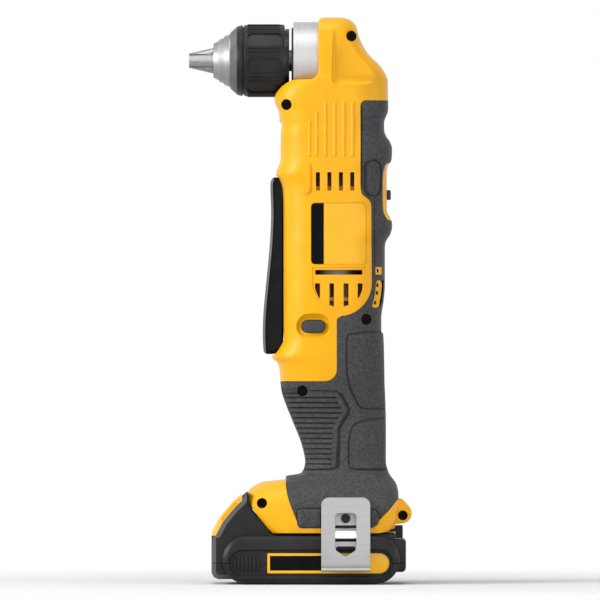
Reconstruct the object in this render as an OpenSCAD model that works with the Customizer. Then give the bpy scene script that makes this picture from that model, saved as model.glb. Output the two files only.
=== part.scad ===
// Cordless right angle drill with a keyless chuck, paddle trigger and slide battery pack.
// Millimetres, +Z up. The motor axis is the Z axis, the chuck points to -X, the housing parts at Y = 0.

/* [Height stack] */
// Height of the battery pack below the foot
battery_h = 28.5; // [28:0.5:32]
// Height of the foot that holds the battery rails
foot_h = 31; // [30:0.5:36]
// Height of the slim grip above the foot
grip_h = 54.6; // [50:0.2:75]
// Height of the switch module at the foot of the motor bay
switch_h = 25.9; // [24:0.1:28]
// Height of the bay for the fan and the planetary gears
gear_bay_h = 52.2; // [51.6:0.2:56]
// Height of the head above the gear bay
head_h = 47.1; // [46.6:0.1:49]
// Distance of the chuck axis below the top of the head
axis_drop = 24.2; // [24:0.1:25]

/* [Depths from the motor axis] */
// Front of the motor bay behind the trigger
motor_front = 29.5; // [28.5:0.1:32]
// Back of the motor bay
motor_back = 28.2; // [27.5:0.1:31]
// Front of the grip at its slimmest
grip_front = 16.8; // [16:0.1:20]
// Back of the grip
grip_back = 28.8; // [27.5:0.1:31]
// Front of the foot nose
nose_front = 49.3; // [48:0.1:51]
// Back of the foot
foot_back = 35.9; // [35:0.1:38]
// Front of the shoulder below the chuck
shoulder_front = 34.4; // [34:0.1:36]
// Flat front face of the head
head_front = 9.5; // [9:0.1:10]
// Back of the head
head_back = 30.1; // [29:0.1:32]

/* [Half widths] */
// Half width of the foot
foot_half = 35.5; // [35:0.1:37]
// Half width of the grip
grip_half = 19.2; // [18.5:0.1:22]
// Half width of the motor bay
motor_half = 28.2; // [27.6:0.1:31]
// Half width of the head
head_half = 26.6; // [26.2:0.1:28]

/* [Walls and fits] */
// Full wall of the housing, grip rubber included
wall = 3.6; // [3.2:0.1:4]
// Thickness of the grip rubber
grip_t = 1.6; // [1.2:0.1:2]
// Gap between grip rubber and housing shell
bond_gap = 0.06; // [0.04:0.01:0.1]
// Radial play of turning shafts in their bores
run_fit = 0.04; // [0.02:0.01:0.08]
// Gap around sliding and swinging controls
slide_gap = 0.4; // [0.3:0.05:0.6]
// Radius of the housing screw shank
screw_r = 1.5; // [1.3:0.1:1.7]
// Radius of the housing screw head
screw_head_r = 2.6; // [2.4:0.1:2.8]

/* [Chuck] */
// Radius of the chuck sleeve
sleeve_r = 20.5; // [20:0.1:21.4]
// Radius of the chuck body inside the sleeve
chuck_body_r = 17.1; // [17:0.05:17.3]
// Front end of the closed jaws, from the motor axis
jaw_tip = 82.7; // [81:0.1:86]
// How far the closed jaws stand out of the steel nose
jaw_reach = 13.8; // [12:0.1:15]
// Length of the steel nose in front of the sleeve
nose_l = 9.6; // [9:0.1:10]
// Length of a jaw along the chuck axis
jaw_l = 29.9; // [28:0.1:31]
// Height of the split nut that drives the jaws
nut_h = 4.4; // [4:0.1:5]
// Rear end of the sleeve
sleeve_rear = 28.4; // [28.2:0.1:28.6]
// Radius of a jaw
jaw_r = 3.4; // [3:0.1:3.6]
// Slant of the jaws to the chuck axis
jaw_slant = 15; // [14:0.1:15]
// Travel of a jaw along its slanted bore
jaw_travel = 17.4; // [15:0.1:17.4]
// Gap between two closed jaws
jaw_gap = 0.5; // [0.3:0.1:0.6]
// Radius of the gear case collar
collar_r = 21.9; // [21.5:0.1:22]
// Front end of the gear case collar
collar_front = 23.5; // [23.3:0.1:23.7]
// Number of finger flutes around the sleeve
flutes = 8; // [6:1:9]

/* [Gear train] */
// Module of the planetary gears
planet_m = 0.7; // [0.68:0.01:0.72]
// Module of the bevel gears
bevel_m = 1.15; // [1.1:0.01:1.18]
// Play between gear teeth at the pitch line
backlash = 0.14; // [0.1:0.01:0.2]
// Face width of the bevel teeth
bevel_face = 5; // [4.5:0.1:5.5]
// Height of the planetary gears
planet_h = 7.5; // [6.5:0.1:8]
// Spindle radius in its ball bearing
spindle_r = 6; // [5.8:0.1:6.2]
// Spindle radius in the bevel gear and the rear bush
spindle_tail_r = 5; // [4.8:0.1:5.1]
// Radius of the pinion shaft
pinion_shaft_r = 4; // [3.6:0.1:4.2]

/* [Motor] */
// Radius of the motor can
can_r = 19.5; // [19.2:0.1:20]
// Height of the motor can
can_h = 49; // [47:0.5:50]
// Wall of the motor can
can_t = 1.6; // [1.2:0.1:1.8]
// Radius of the armature core
armature_r = 14.6; // [14:0.1:14.8]
// Radius of the motor shaft
motor_shaft_r = 2.5; // [2.2:0.1:2.6]
// Radius of the commutator
commutator_r = 6.5; // [6.2:0.1:6.8]

/* [Controls] */
// Half width of the trigger
trigger_half = 10.5; // [9:0.1:11.5]
// Squeeze angle of the trigger
trigger_swing = 5; // [4:0.5:5]
// Radius of the trigger pivot pin
trigger_pin_r = 1.5; // [1.3:0.1:1.6]
// Length of the direction button end
button_l = 13; // [12:0.2:14]
// Height of the direction button end
button_h = 6.5; // [6:0.1:7]
// Travel of the direction button to each side
button_travel = 2.4; // [2:0.1:2.4]
// Travel of the speed selector
selector_travel = 7; // [6:0.5:7]
// Half width of the speed selector thumb piece
selector_half = 5; // [4:0.5:6]

/* [Vents] */
// Width of an upper vent slot
vent_w = 2.4; // [2:0.1:3]
// Height of an upper vent slot
vent_h = 10.4; // [8:0.2:11]
// Pitch of the upper vent slots
vent_pitch = 6.45; // [6:0.05:6.8]

/* [Belt hook] */
// Width of the belt hook strip
hook_w = 27.6; // [24:0.2:30]
// Thickness of the belt hook strip
hook_t = 1.4; // [1.2:0.1:1.8]
// Clear gap for the belt
hook_gap = 6; // [5:0.1:8]
// Radius of the upper corners of the hook
hook_r = 4.6; // [3:0.2:6]
// Height of the upper end of the hook
hook_top = 48.8; // [46:0.2:52]
// Height of the lower bend of the hook
hook_low = 6.9; // [6:0.1:9]

/* [Battery] */
// Side of the pack from the cell ends to the outside
pack_side_t = 4.5; // [4.1:0.1:5.5]
// Wall of the battery case
pack_wall = 2; // [1.8:0.1:2.2]
// Radius of a battery cell
cell_r = 9.15; // [9:0.05:9.2]
// Length of a battery cell
cell_l = 65; // [64:0.5:66]
// Pitch of the battery cells
cell_pitch = 18.5; // [18.45:0.05:18.6]
// Height of the seam between the case halves
seam_z = 11.5; // [10:0.1:13]
// Half width of the release latch
latch_half = 14; // [12:0.5:18]
// Travel of the release latch
latch_travel = 3; // [2.5:0.1:3.2]

/* [Hidden] */
$fn = 48;
eps = 0.01;
z_foot = battery_h;
z_grip = z_foot + foot_h;
z_motor = z_grip + grip_h;
// the motor bay stacks the switch, the direction button, the brush cap and the motor can
button_rise = 4.6;
button_clear = 9.3;
cap_h = 17.5;
can_rise = 0.3;
switch_low = z_motor + 0.6;
switch_top = switch_low + switch_h;
button_z = switch_top + button_rise;
cap_low = button_z + button_clear;
can_low = cap_low + cap_h;
can_top = can_low + can_h;
z_gear = can_top - can_rise;
z_head = z_gear + gear_bay_h;
z_top = z_head + head_h;
z_axis = z_top - axis_drop;

// Body outline in side view: front edge, back edge, half width and squareness along the height
front_edge = [
    [z_foot, -nose_front + 12.8], [z_foot + 1.2, -nose_front + 11.5], [z_foot + 6.8, -nose_front + 6.8],
    [z_foot + 12.5, -nose_front + 2], [z_foot + 15.5, -nose_front + 0.6], [z_foot + 23, -nose_front],
    [z_foot + 26.4, -nose_front + 3.6], [z_foot + 28.4, -nose_front + 7.2], [z_foot + 30, -grip_front - 11.5],
    [z_grip + 0.8, -grip_front - 10.7], [z_grip + 1.6, -grip_front - 5.6], [z_grip + 2.3, -grip_front - 2.6],
    [z_grip + 4.3, -grip_front - 0.9], [z_grip + 9, -grip_front],
    [z_grip + 17.8, -grip_front - 1.7], [z_grip + 33.7, -grip_front - 7.8], [z_motor - 11.8, -motor_front + 1.3],
    [z_motor - 5, -motor_front - 0.8], [z_motor + 8.6, -motor_front - 2.3], [z_motor + 10.8, -motor_front - 3.4],
    [z_motor + 13, -motor_front - 6], [z_motor + 14.4, -motor_front - 6.1], [z_motor + 16.5, -motor_front - 4],
    [z_motor + 20, -motor_front - 1.7], [z_motor + 24, -motor_front], [z_gear - 6, -motor_front],
    [z_gear + 2, -motor_front - 0.4], [z_gear + 7.4, -motor_front - 2], [z_gear + 10.9, -motor_front - 4],
    [z_gear + 13.2, -motor_front - 3.4], [z_gear + 15.6, -motor_front - 2.3], [z_gear + 20, -motor_front - 1.3],
    [z_head - 18.7, -motor_front - 1.3], [z_head - 14, -motor_front - 0.7], [z_head - 9.7, -shoulder_front + 3.1],
    [z_head - 5.1, -shoulder_front + 2.3], [z_head - 0.6, -shoulder_front + 0.2], [z_head + 2, -shoulder_front],
    [z_head + 6.3, -shoulder_front + 1.5], [z_head + 9, -shoulder_front + 3.4], [z_head + 12, -shoulder_front + 8],
    [z_head + 14, -head_front - 9], [z_top - 3, -head_front - 7.5], [z_top, -head_front - 4]
];
back_edge = [
    [z_foot, foot_back - 5.5], [z_foot + 1.2, foot_back - 4.7], [z_foot + 7, foot_back - 1.9],
    [z_foot + 14, foot_back - 0.3], [z_foot + 21.6, foot_back], [z_foot + 26, foot_back - 0.8],
    [z_foot + 28.4, foot_back - 1.8], [z_grip - 0.4, grip_back + 3.6], [z_grip + 1.9, grip_back + 2],
    [z_grip + 4.2, grip_back + 1], [z_grip + 9, grip_back], [z_grip + 30, grip_back],
    [z_motor + 6, grip_back - 1.1], [z_motor + 26, motor_back - 1.4], [z_motor + 28, motor_back - 2],
    [z_motor + 36, motor_back - 2], [z_motor + 45, motor_back - 0.8], [z_motor + 54, motor_back],
    [z_gear - 30, motor_back], [z_gear - 27.4, motor_back + 0.6], [z_gear - 23.2, motor_back + 3.1],
    [z_gear - 18.6, motor_back + 4.2], [z_gear - 14.2, motor_back + 3.5], [z_gear - 11.9, motor_back + 1.8],
    [z_gear - 9.6, motor_back + 1.3], [z_gear + 12, motor_back + 1.2], [z_gear + 15.4, motor_back + 1.9],
    [z_gear + 17.6, motor_back + 3.4], [z_gear + 20, motor_back + 3.9], [z_gear + 25, motor_back + 4.1],
    [z_gear + 29, motor_back + 2.9], [z_gear + 31.2, motor_back + 1.3], [z_gear + 33.5, motor_back + 0.1],
    [z_gear + 36, motor_back - 0.4], [z_head - 12, motor_back - 0.4], [z_head - 7.4, head_back - 0.7],
    [z_head - 5.1, head_back], [z_head + 10.8, head_back], [z_head + 15.3, head_back - 1.5],
    [z_head + 19.8, head_back - 4.4], [z_head + 26.7, head_back - 11.2], [z_head + 35.7, head_back - 16.2],
    [z_head + 42.5, head_back - 18.2], [z_top - 2.3, head_back - 20], [z_top - 0.4, head_back - 23],
    [z_top, head_back - 25]
];
half_edge = [
    [z_foot, foot_half - 0.7], [z_foot + 4, foot_half], [z_foot + 16, foot_half - 0.4],
    [z_foot + 22, foot_half - 2.6], [z_foot + 27, foot_half - 7], [z_grip, grip_half + 4.2],
    [z_grip + 4, grip_half + 1.2], [z_grip + 9, grip_half], [z_grip + 30, grip_half + 0.2],
    [z_motor - 10, grip_half + 2.3], [z_motor + 4, motor_half - 3.4], [z_motor + 25, motor_half - 1],
    [z_motor + 50, motor_half], [z_gear, motor_half], [z_gear + 30, motor_half - 0.6],
    [z_head, head_half + 0.6], [z_head + 24, head_half], [z_top - 8, head_half - 1.5],
    [z_top - 3, head_half - 5], [z_top - 1, head_half - 9], [z_top, head_half - 12.5]
];
square_edge = [
    [z_foot, 9], [z_foot + 14, 8], [z_foot + 22, 4.6], [z_grip, 3], [z_grip + 9, 2.5], [z_motor - 10, 2.6],
    [z_motor + 25, 3.2], [z_head, 3.4], [z_top, 3.2]
];
foot_rings = [0, 1.2, 6.8, 12.5, 15.5, 23, 26.4, 28.4, 30];
grip_rings = [0.8, 1.6, 2.3, 4.2, 9, 17, 25, 33];
low_rings = [-14, -6, 2, 8.6, 10.8, 13, 14.4, 16.5, 20, 24, 30, 42, 54];
high_rings = [-30, -26.5, -23.2, -18.6, -14.2, -11, 3, 7.4, 10.9, 13.2, 15.6, 18.5, 25, 29, 32, 35];
head_rings = [-12, -6, -0.6, 2.5, 6.3, 9, 12, 15.3, 19.8, 25, 31];
top_rings = [-9, -5.5, -2.6, -0.9, 0];
body_rings = concat([for (d = foot_rings) z_foot + d], [for (d = grip_rings) z_grip + d],
    [for (d = low_rings) z_motor + d], [for (d = high_rings) z_gear + d],
    [for (d = head_rings) z_head + d], [for (d = top_rings) z_top + d]);
bed_rings = concat([for (d = [0, 12.5, 20, 26.4, 30]) z_foot + d], [for (d = [1.6, 4.2, 9, 21, 33]) z_grip + d],
    [for (d = [-10, 1.3, 12, 24, 36, 54]) z_motor + d], [for (d = [-30, -24, -14, -11, 12, 17, 25, 30, 34]) z_gear + d],
    [for (d = [-12, -5, 2]) z_head + d], [z_top - 12]);
cavity_rings = concat([for (d = [16, 20, 24]) z_foot + d], [for (d = [0, 5, 12, 22, 32, 42]) z_grip + d],
    [for (d = [-4, 6, 16, 24, 36, 48, 64]) z_motor + d], [for (d = [-32, -24, -12, 0, 10, 18, 26, 34, 42]) z_gear + d],
    [for (d = [-2, 5, 11, 17, 23, 29, 35, 40]) z_head + d], [z_top - wall]);

// Housing features
parting = 0.05;
head_fillet = 5;
top_fillet = 3.2;
shoulder_z = z_head + 11.9;
label_front = -13.7;
label_l = 31.4;
label_h = 35;
label_z = z_motor + 66;
grille_x = 2.1;
grille_z = z_motor + 55.6;
grille_r = 14.5;
cover_r = 18.9;
selector_z = z_gear - 1.1;
button_x = -12.2;
led_z = z_head - 8.6;
led_r = 3.2;
screw_places = [
    [-27.6, z_head - 2.4], [9.4, z_top - 10.6], [17.6, z_motor + 35], [-18.4, z_motor - 5.3],
    [-41.3, z_foot + 16.9], [38.4, z_foot + 9.7]
];

// Chuck and spindle stations along -X
bearing_front = collar_front - 1;
bearing_rear = bearing_front - 9;
jaw_tip_off = 0.7;
chuck_rear = 25.9;
chuck_nose = jaw_tip - jaw_reach;
sleeve_front = chuck_nose - nose_l;
jaw_rear = jaw_tip - jaw_l;
nut_front = jaw_rear + 1.4;
nut_rear = nut_front - nut_h;
bore_r = 5.1;
thread_r = 4.6;
thread_front = 38;

// Gear train
sun_n = 12;
planet_n = 18;
ring_n = 48;
pinion_n = 12;
gear_n = 24;
planet_d = planet_m * (sun_n + planet_n) / 2;
bevel_cone = bevel_m * sqrt(pinion_n * pinion_n + gear_n * gear_n) / 2;
pinion_delta = atan(pinion_n / gear_n);
gear_delta = 90 - pinion_delta;
z_planet = z_gear + 17;
ring_low = z_gear + 15.4;
ring_h = 11.4;
carrier_z = ring_low + ring_h + 0.5;
carrier_t = 3.4;
pinion_back = z_axis - gear_n * bevel_m / 2 - 2.8;
pinion_bearing_h = 9;
pinion_bearing_top = pinion_back - 1.2;
case_low = ring_low + ring_h;
case_bore = 14.6;
case_back = 2.6;
bush_back = 8.8;

// Motor stations
core_low = can_low + 10;
core_top = can_top - 11;
comm_low = can_low - 12;
comm_h = 11;
fan_low = can_top + 3;
fan_h = 9;
cap_r = can_r - 1;

// Controls
pivot = [-motor_front + 1.2, z_gear + 4.3];
trigger_back = motor_front - 0.8;
plunger_r = 3;
plunger_z = switch_top - plunger_r - 2.5;
switch_front = -20;
switch_back = 8;
switch_half = 12;

// Foot rails and pack
channel_half = foot_half - 5.5;
channel_top = z_foot + 13.5;
channel_back = 27;
lip_half = channel_half - 4.5;
lip_h = 3.6;
stop_half = 12;
rail_gap = 0.5;
pack_half = cell_l / 2 + pack_side_t;
pack_front = -63.7;
pack_back = 36.5;
pack_top = battery_h - 1.6;
pack_r = pack_top / 2;
rim_t = 2.4;
cell_x = (pack_front + pack_back) / 2;
latch_line = [[-69.9, -1.2], [-69, 1.5], [-65.6, 8], [-62.1, 12.5], [-58.2, 17], [-54.6, 20.4], [-53, 21.3]];
pack_screws = [[-65.6, -24], [-65.6, 24], [37.3, -22], [37.3, 22]];
pack_screw_z = 9;
hook_x = 6;
hook_inner = foot_half + 0.6;
hook_jog = 1.6;
hook_drop = max(pack_half + 0.7, hook_inner + hook_jog);
hook_outer = hook_drop + hook_t + hook_gap;
hook_screw_z = z_foot + 8.4;
insert_r = 2.8;
insert_bore = 1.65;

steel = [0.72, 0.73, 0.75];
yellow = [0.98, 0.73, 0.08];
black = [0.16, 0.16, 0.17];
brass = [0.78, 0.62, 0.3];
alu = [0.76, 0.77, 0.78];
copper = [0.75, 0.42, 0.22];

// Smooth interpolation through a table of [height, value] that never overshoots its points
function seg(t, z, i = 0) = (i >= len(t) - 2 || z <= t[i + 1][0]) ? i : seg(t, z, i + 1);
function secant(t, i) = (t[i + 1][1] - t[i][1]) / (t[i + 1][0] - t[i][0]);
function mean_slope(a, b) = a * b <= 0 ? 0 : 2 * a * b / (a + b);
function slope(t, i) = i == 0 ? secant(t, 0) : i == len(t) - 1 ? secant(t, i - 1)
    : mean_slope(secant(t, i - 1), secant(t, i));
function hermite(p, q, m, n, u) = (2 * u * u * u - 3 * u * u + 1) * p + (u * u * u - 2 * u * u + u) * m
    + (3 * u * u - 2 * u * u * u) * q + (u * u * u - u * u) * n;
function along(t, z) = let (i = seg(t, z), h = t[i + 1][0] - t[i][0], u = min(1, max(0, (z - t[i][0]) / h)))
    hermite(t[i][1], t[i + 1][1], slope(t, i) * h, slope(t, i + 1) * h, u);
function near(z, d) = d == 0 ? [z] : [for (k = [-1, -0.5, 0, 0.5, 1]) min(z_top, max(z_foot, z + k * d))];
function front_at(z, d) = max([for (s = near(z, d)) along(front_edge, s)]) + d;
function back_at(z, d) = min([for (s = near(z, d)) along(back_edge, s)]) - d;
function half_at(z, d) = min([for (s = near(z, d)) along(half_edge, s)]) - d;
function sgn_pow(v, p) = v < 0 ? -pow(-v, p) : pow(v, p);
function section(z, d, n, e) = let (f = front_at(z, d) + e, b = back_at(z, d) - e, w = half_at(z, d) - e,
    p = 2 / along(square_edge, z))
    [for (j = [0:n - 1]) let (a = 360 * j / n)
        [(f + b) / 2 + (b - f) / 2 * sgn_pow(cos(a), p), w * sgn_pow(sin(a), p), z]];
function side_y(x, z) = let (f = front_at(z, 0), b = back_at(z, 0), e = along(square_edge, z),
    u = min(0.98, abs(2 * x - f - b) / (b - f))) half_at(z, 0) * pow(1 - pow(u, e), 1 / e);

module skin(rings) {
    n = len(rings[0]);
    m = len(rings);
    low = [[for (j = [0:n - 1]) j]];
    high = [[for (j = [n - 1:-1:0]) (m - 1) * n + j]];
    sides = [for (i = [0:m - 2], j = [0:n - 1]) let (a = i * n + j, b = i * n + (j + 1) % n)
        each [[a, a + n, b + n], [a, b + n, b]]];
    polyhedron([for (r = rings) each r], concat(low, sides, high), convexity = 8);
}

module body_loft(d, n, stops, e = 0) {
    skin([for (z = stops) section(z, d, n, e)]);
}

module along_y(h) {
    rotate([90, 0, 0]) linear_extrude(h, center = true) children();
}

module x_rod(r, x0, x1) {
    translate([x0, 0, z_axis]) rotate([0, 90, 0]) cylinder(r = r, h = x1 - x0);
}

module y_rod(x, z, r, y0, y1) {
    translate([x, y1, z]) rotate([90, 0, 0]) cylinder(r = r, h = y1 - y0);
}

module turned_x(pts) {
    translate([0, 0, z_axis]) rotate([0, -90, 0]) rotate_extrude() polygon(pts);
}

module stadium(l, h) {
    hull() for (s = [-1, 1]) translate([s * (l - h) / 2, 0]) circle(d = h, $fn = 24);
}

// Side view area that the grip rubber covers
module cover_area() {
    arc = [for (a = [0:-10:-90]) [grille_x + cover_r * cos(a), grille_z + cover_r * sin(a)]];
    low_x = grille_x - 1;
    bend = [for (a = [0:-15:-90]) [low_x - 6.8 + 6.8 * cos(a), z_motor + 6.8 + 6.8 * sin(a)]];
    top = [for (a = [90:15:180]) [17.5 + 3 * cos(a), z_head - 3 + 3 * sin(a)]];
    polygon(concat([[70, z_head]], top,
        [[14.5, z_gear + 1.5], [15.2, z_gear - 1.4], [17.6, z_gear - 3.4], [20, z_gear - 4.6], [21, z_gear - 6.6]],
        arc, [[low_x, grille_z - cover_r - 2]], bend,
        [[-70, z_motor], [-70, z_grip + 0.6], [-27.8, z_grip + 0.4], [-27.6, z_grip - 7], [-26.1, z_grip - 12.8],
        [-22.7, z_grip - 21.3], [-20.4, z_foot + 3.4], [-19.4, z_foot + 2.8], [20.5, z_foot + 2.8], [22.6, z_foot + 3.6],
        [30.1, z_foot + 12.5], [35.2, z_foot + 19.3], [70, z_foot + 19.3]]));
}

// Windows in the grip rubber that show the shell: thumb slide and two small rear vents
module cover_windows() {
    along_y(200) polygon([[27.3, z_gear - 10.6], [27.3, z_gear + 12.4], [30, z_gear + 17.6], [60, z_gear + 17.6],
        [60, z_gear - 15.4], [30, z_gear - 15.4]]);
    along_y(200) translate([22.9, can_low + 2.4]) square([3.6, 4.4]);
    along_y(200) translate([0, can_low]) polygon([[23.2, -0.8], [22.8, -8], [21.5, -13.5], [20.7, -16.2],
        [24.7, -16.2], [26.3, -7], [26.5, -0.8]]);
}

module half_space(side) {
    translate([-100, side < 0 ? -100 : parting / 2, -10]) cube([200, 100 - parting / 2, 400]);
}

module screw_bosses() {
    for (p = screw_places) y_rod(p[0], p[1], 4.4, -60, 60, $fn = 10);
    for (y = [-1, 1])
        y_rod(pivot[0], pivot[1], 4, y < 0 ? -17 : trigger_half + 0.3, y < 0 ? -trigger_half - 0.3 : 17, $fn = 10);
}

// Ribs that seat the motor cap, the motor can and the ring gear
module seat_ribs() {
    seats = [[cap_low + 2, cap_r], [can_low + 12, can_r], [can_top - 14, can_r], [ring_low + 3, 21.4],
        [ring_low + 9, 21.4]];
    for (s = seats) translate([0, 0, s[0]]) difference() {
        translate([-60, -60, 0]) cube([120, 120, 2.2]);
        cylinder(r = s[1] + 0.25, h = 10, center = true, $fn = 28);
        translate([14, -6, -1]) cube([40, 12, 6]);
    }
    // air baffle between the motor can and the fan
    translate([0, 0, can_top + 0.2]) difference() {
        translate([-60, -60, 0]) cube([120, 120, 2.2]);
        cylinder(r = 12, h = 10, center = true, $fn = 28);
        translate([16, -selector_half - 4.5, -1]) cube([40, 2 * selector_half + 9, 6]);
    }
    // plates that seat the switch module and the terminal block
    for (y = [-1, 1]) translate([switch_front + 6, y > 0 ? switch_half + 0.2 : -switch_half - 30.2, switch_low + 8])
        cube([3, 30, 2.4]);
    translate([-60, -60, switch_low - 2.6]) difference() {
        cube([120, 120, 2.4]);
        translate([66, 46, -1]) cube([30, 28, 5]);
    }
}

module trigger_outline() {
    t = z_gear;
    b = z_motor;
    polygon([[-34.4, t + 9.4], [-36.4, t + 7.2], [-36.7, t + 3.3], [-36, t - 11.7], [-36.9, t - 30], [-38.7, b + 58.4],
        [-40.5, b + 40.3], [-41, b + 29], [-40.7, b + 18], [-40, b + 15.9], [-38, b + 15.2], [-33, b + 15.6],
        [-31, b + 18], [-trigger_back, b + 22], [-trigger_back, t - 8], [pivot[0] + 1.6, t - 1],
        [pivot[0] + 3.4, t + 3], [pivot[0] + 3, t + 6.4], [pivot[0] + 0.6, t + 7.6]]);
}

// Space that the trigger sweeps, with play
module trigger_path() {
    along_y(2 * trigger_half + 2 * slide_gap) hull() for (k = [0, 1]) translate(pivot) rotate(trigger_swing * k)
        translate(-pivot) offset(delta = slide_gap) trigger_outline();
}

module button_shape(grow, y0, y1) {
    hull() for (s = [-1, 1])
        y_rod(button_x + s * (button_l - button_h) / 2, button_z, button_h / 2 + grow, y0, y1, $fn = 24);
}

module button_dish(side) {
    y = side * side_y(button_x, button_z);
    hull() {
        for (s = [-1, 1]) y_rod(button_x + s * 2.8, button_z, 7.1, y + side * 0.3 - 0.3, y + side * 0.3 + 0.3, $fn = 24);
        button_shape(0.9, y - side * 2 - 0.1, y - side * 2 + 0.1);
    }
}

module vents(side) {
    y0 = side < 0 ? -60 : 14;
    for (i = [0:3]) translate([-9.6 + vent_pitch * i - vent_w / 2, y0, z_gear + 6.4 - vent_h / 2])
        cube([vent_w, 46, vent_h]);
    translate([grille_x - 13.3, y0, z_motor + 60.2]) cube([26.6, 46, 2.8]);
    for (i = [0:3]) {
        x = grille_x - 12.1 + 8.07 * i;
        low = grille_z - sqrt(grille_r * grille_r - pow(abs(x - grille_x) - 0.6, 2));
        translate([x - 1.3, y0, low]) cube([2.6, 46, grille_z - low]);
    }
}

module screw_holes(side) {
    for (p = screw_places) {
        y = side_y(p[0], p[1]);
        if (side < 0) {
            y_rod(p[0], p[1], screw_r + 0.2, -60, 1, $fn = 12);
            y_rod(p[0], p[1], screw_head_r + 0.2, -60, screw_seat(p), $fn = 12);
        } else y_rod(p[0], p[1], screw_r + 0.15, -1, 11, $fn = 12);
    }
}

function screw_seat(p) = p[1] < z_foot + 12 ? -9
    : -side_y(p[0], p[1]) + (p[1] < z_grip ? 9 : 3.4);

module rail_channel() {
    translate([-70, -channel_half, z_foot + lip_h])
        cube([70 + channel_back, 2 * channel_half, channel_top - z_foot - lip_h]);
    translate([-70, -lip_half, z_foot - 1]) cube([70 + channel_back, 2 * lip_half, lip_h + 2]);
    translate([-70, -latch_half - 0.6, z_foot + 10]) cube([70 - 45, 2 * latch_half + 1.2, 10.2]);
    // passage for the battery wires and for the tail of the terminal block
    translate([2, -10, z_foot + 10]) cube([22, 20, 10]);
    translate([channel_back - 1, -stop_half - 0.3, z_foot - 1]) cube([14, 2 * stop_half + 0.6, 4.1]);
}

module housing(side) {
    difference() {
        intersection() {
            union() {
                difference() {
                    body_loft(0, 20, body_rings);
                    difference() {
                        along_y(200) cover_area();
                        cover_windows();
                    }
                }
                body_loft(grip_t, 16, bed_rings, bond_gap);
                foot_ear(0);
            }
            half_space(side);
        }
        difference() {
            body_loft(wall, 12, cavity_rings);
            screw_bosses();
            seat_ribs();
        }
        head_cuts();
        rail_channel();
        trigger_path();
        vents(side);
        screw_holes(side);
        button_shape(slide_gap, side < 0 ? -60 : 10, side < 0 ? -10 : 60);
        button_dish(side);
        y_rod(pivot[0], pivot[1], trigger_pin_r + 0.05, -14.1, 14.1, $fn = 24);
        // slot of the speed selector
        translate([15, -selector_half - slide_gap, selector_z - 2.9 - slide_gap])
            cube([30, 2 * selector_half + 2 * slide_gap, 5.8 + selector_travel + 2 * slide_gap]);
        translate([-70, 0, led_z]) rotate([0, 90, 0]) cylinder(r = led_r + 0.05, h = 50, $fn = 24);
        // recessed bare label field
        label_field(side, 0.6);
        // pilot for the belt hook screw
        y_rod(hook_x, hook_screw_z, side < 0 ? 1.6 : insert_r + 0.06, side < 0 ? -60 : channel_half + 0.8,
            side < 0 ? -channel_half - 0.8 : 60, $fn = 24);
    }
}

// Rear ear of the foot that takes a screw
module foot_ear(grow) {
    along_y(28 + 2 * grow) hull() {
        translate([37.8, z_foot + 10.9]) circle(r = 5.7 + grow, $fn = 24);
        translate([36.4, z_foot + 15]) circle(r = 4 + grow, $fn = 24);
        translate([28, z_foot + 8]) circle(r = 4 + grow, $fn = 24);
    }
}

module label_field(side, depth) {
    y = side * (side_y(label_front + label_l / 2, label_z + label_h / 2) - depth);
    translate([label_front + label_l / 2, y + side * 5, label_z + label_h / 2]) rotate([90, 0, 0])
        linear_extrude(10, center = true) offset(r = 2.4, $fn = 12)
            square([label_l - 4.8, label_h - 4.8], center = true);
}

// Open front of the head: flat face, shoulder and round seat of the gear case collar
module head_cuts() {
    arc = [for (a = [-90:15:0])
        [-head_front - head_fillet + head_fillet * cos(a), shoulder_z + head_fillet + head_fillet * sin(a)]];
    corner = [for (a = [180:-22.5:90])
        [-head_front + top_fillet + top_fillet * cos(a), z_top - top_fillet + top_fillet * sin(a)]];
    along_y(200) polygon(concat([[-90, shoulder_z]], arc, corner,
        [[-head_front + top_fillet, z_top + 20], [-90, z_top + 20]]));
    translate([-90, 0, z_axis]) rotate([0, 90, 0]) cylinder(r = collar_r + 0.15, h = 90 - 2, $fn = 64);
}

module grip(side) {
    difference() {
        intersection() {
            body_loft(0, 20, body_rings);
            along_y(200) cover_area();
            half_space(side);
        }
        body_loft(grip_t, 16, bed_rings);
        cover_windows();
        foot_ear(bond_gap);
        head_cuts();
        rail_channel();
        trigger_path();
        screw_holes(side);
        y_rod(hook_x, hook_screw_z, side < 0 ? 1.6 : insert_r + 0.06, side < 0 ? -60 : channel_half + 0.8,
            side < 0 ? -channel_half - 0.8 : 60, $fn = 24);
        // grooves of the front finger grip
        for (i = [0:7]) hull() for (y = [0, side * 30])
            translate([-16.5 - max(0, i - 2) * 1.3, y, z_grip + 12 + i * 4.4]) rotate([0, 90, 0])
                cylinder(r = 0.8, h = 13 + max(0, i - 2) * 0.6, center = true, $fn = 4);
    }
}

module left_housing() { color(yellow) housing(-1); }
module right_housing() { color(yellow) housing(1); }
module left_grip() { color(black) grip(-1); }
module right_grip() { color(black) grip(1); }

module label_plate(side) {
    y = side * (side_y(label_front + label_l / 2, label_z + label_h / 2) - 0.6);
    translate([label_front + label_l / 2, y + side * 0.2, label_z + label_h / 2]) rotate([90, 0, 0])
        linear_extrude(0.3, center = true) square([label_l - 5.2, label_h - 5.2], center = true);
}
module left_label() { color([0.95, 0.75, 0.15]) label_plate(-1); }
module right_label() { color([0.95, 0.75, 0.15]) label_plate(1); }

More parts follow.
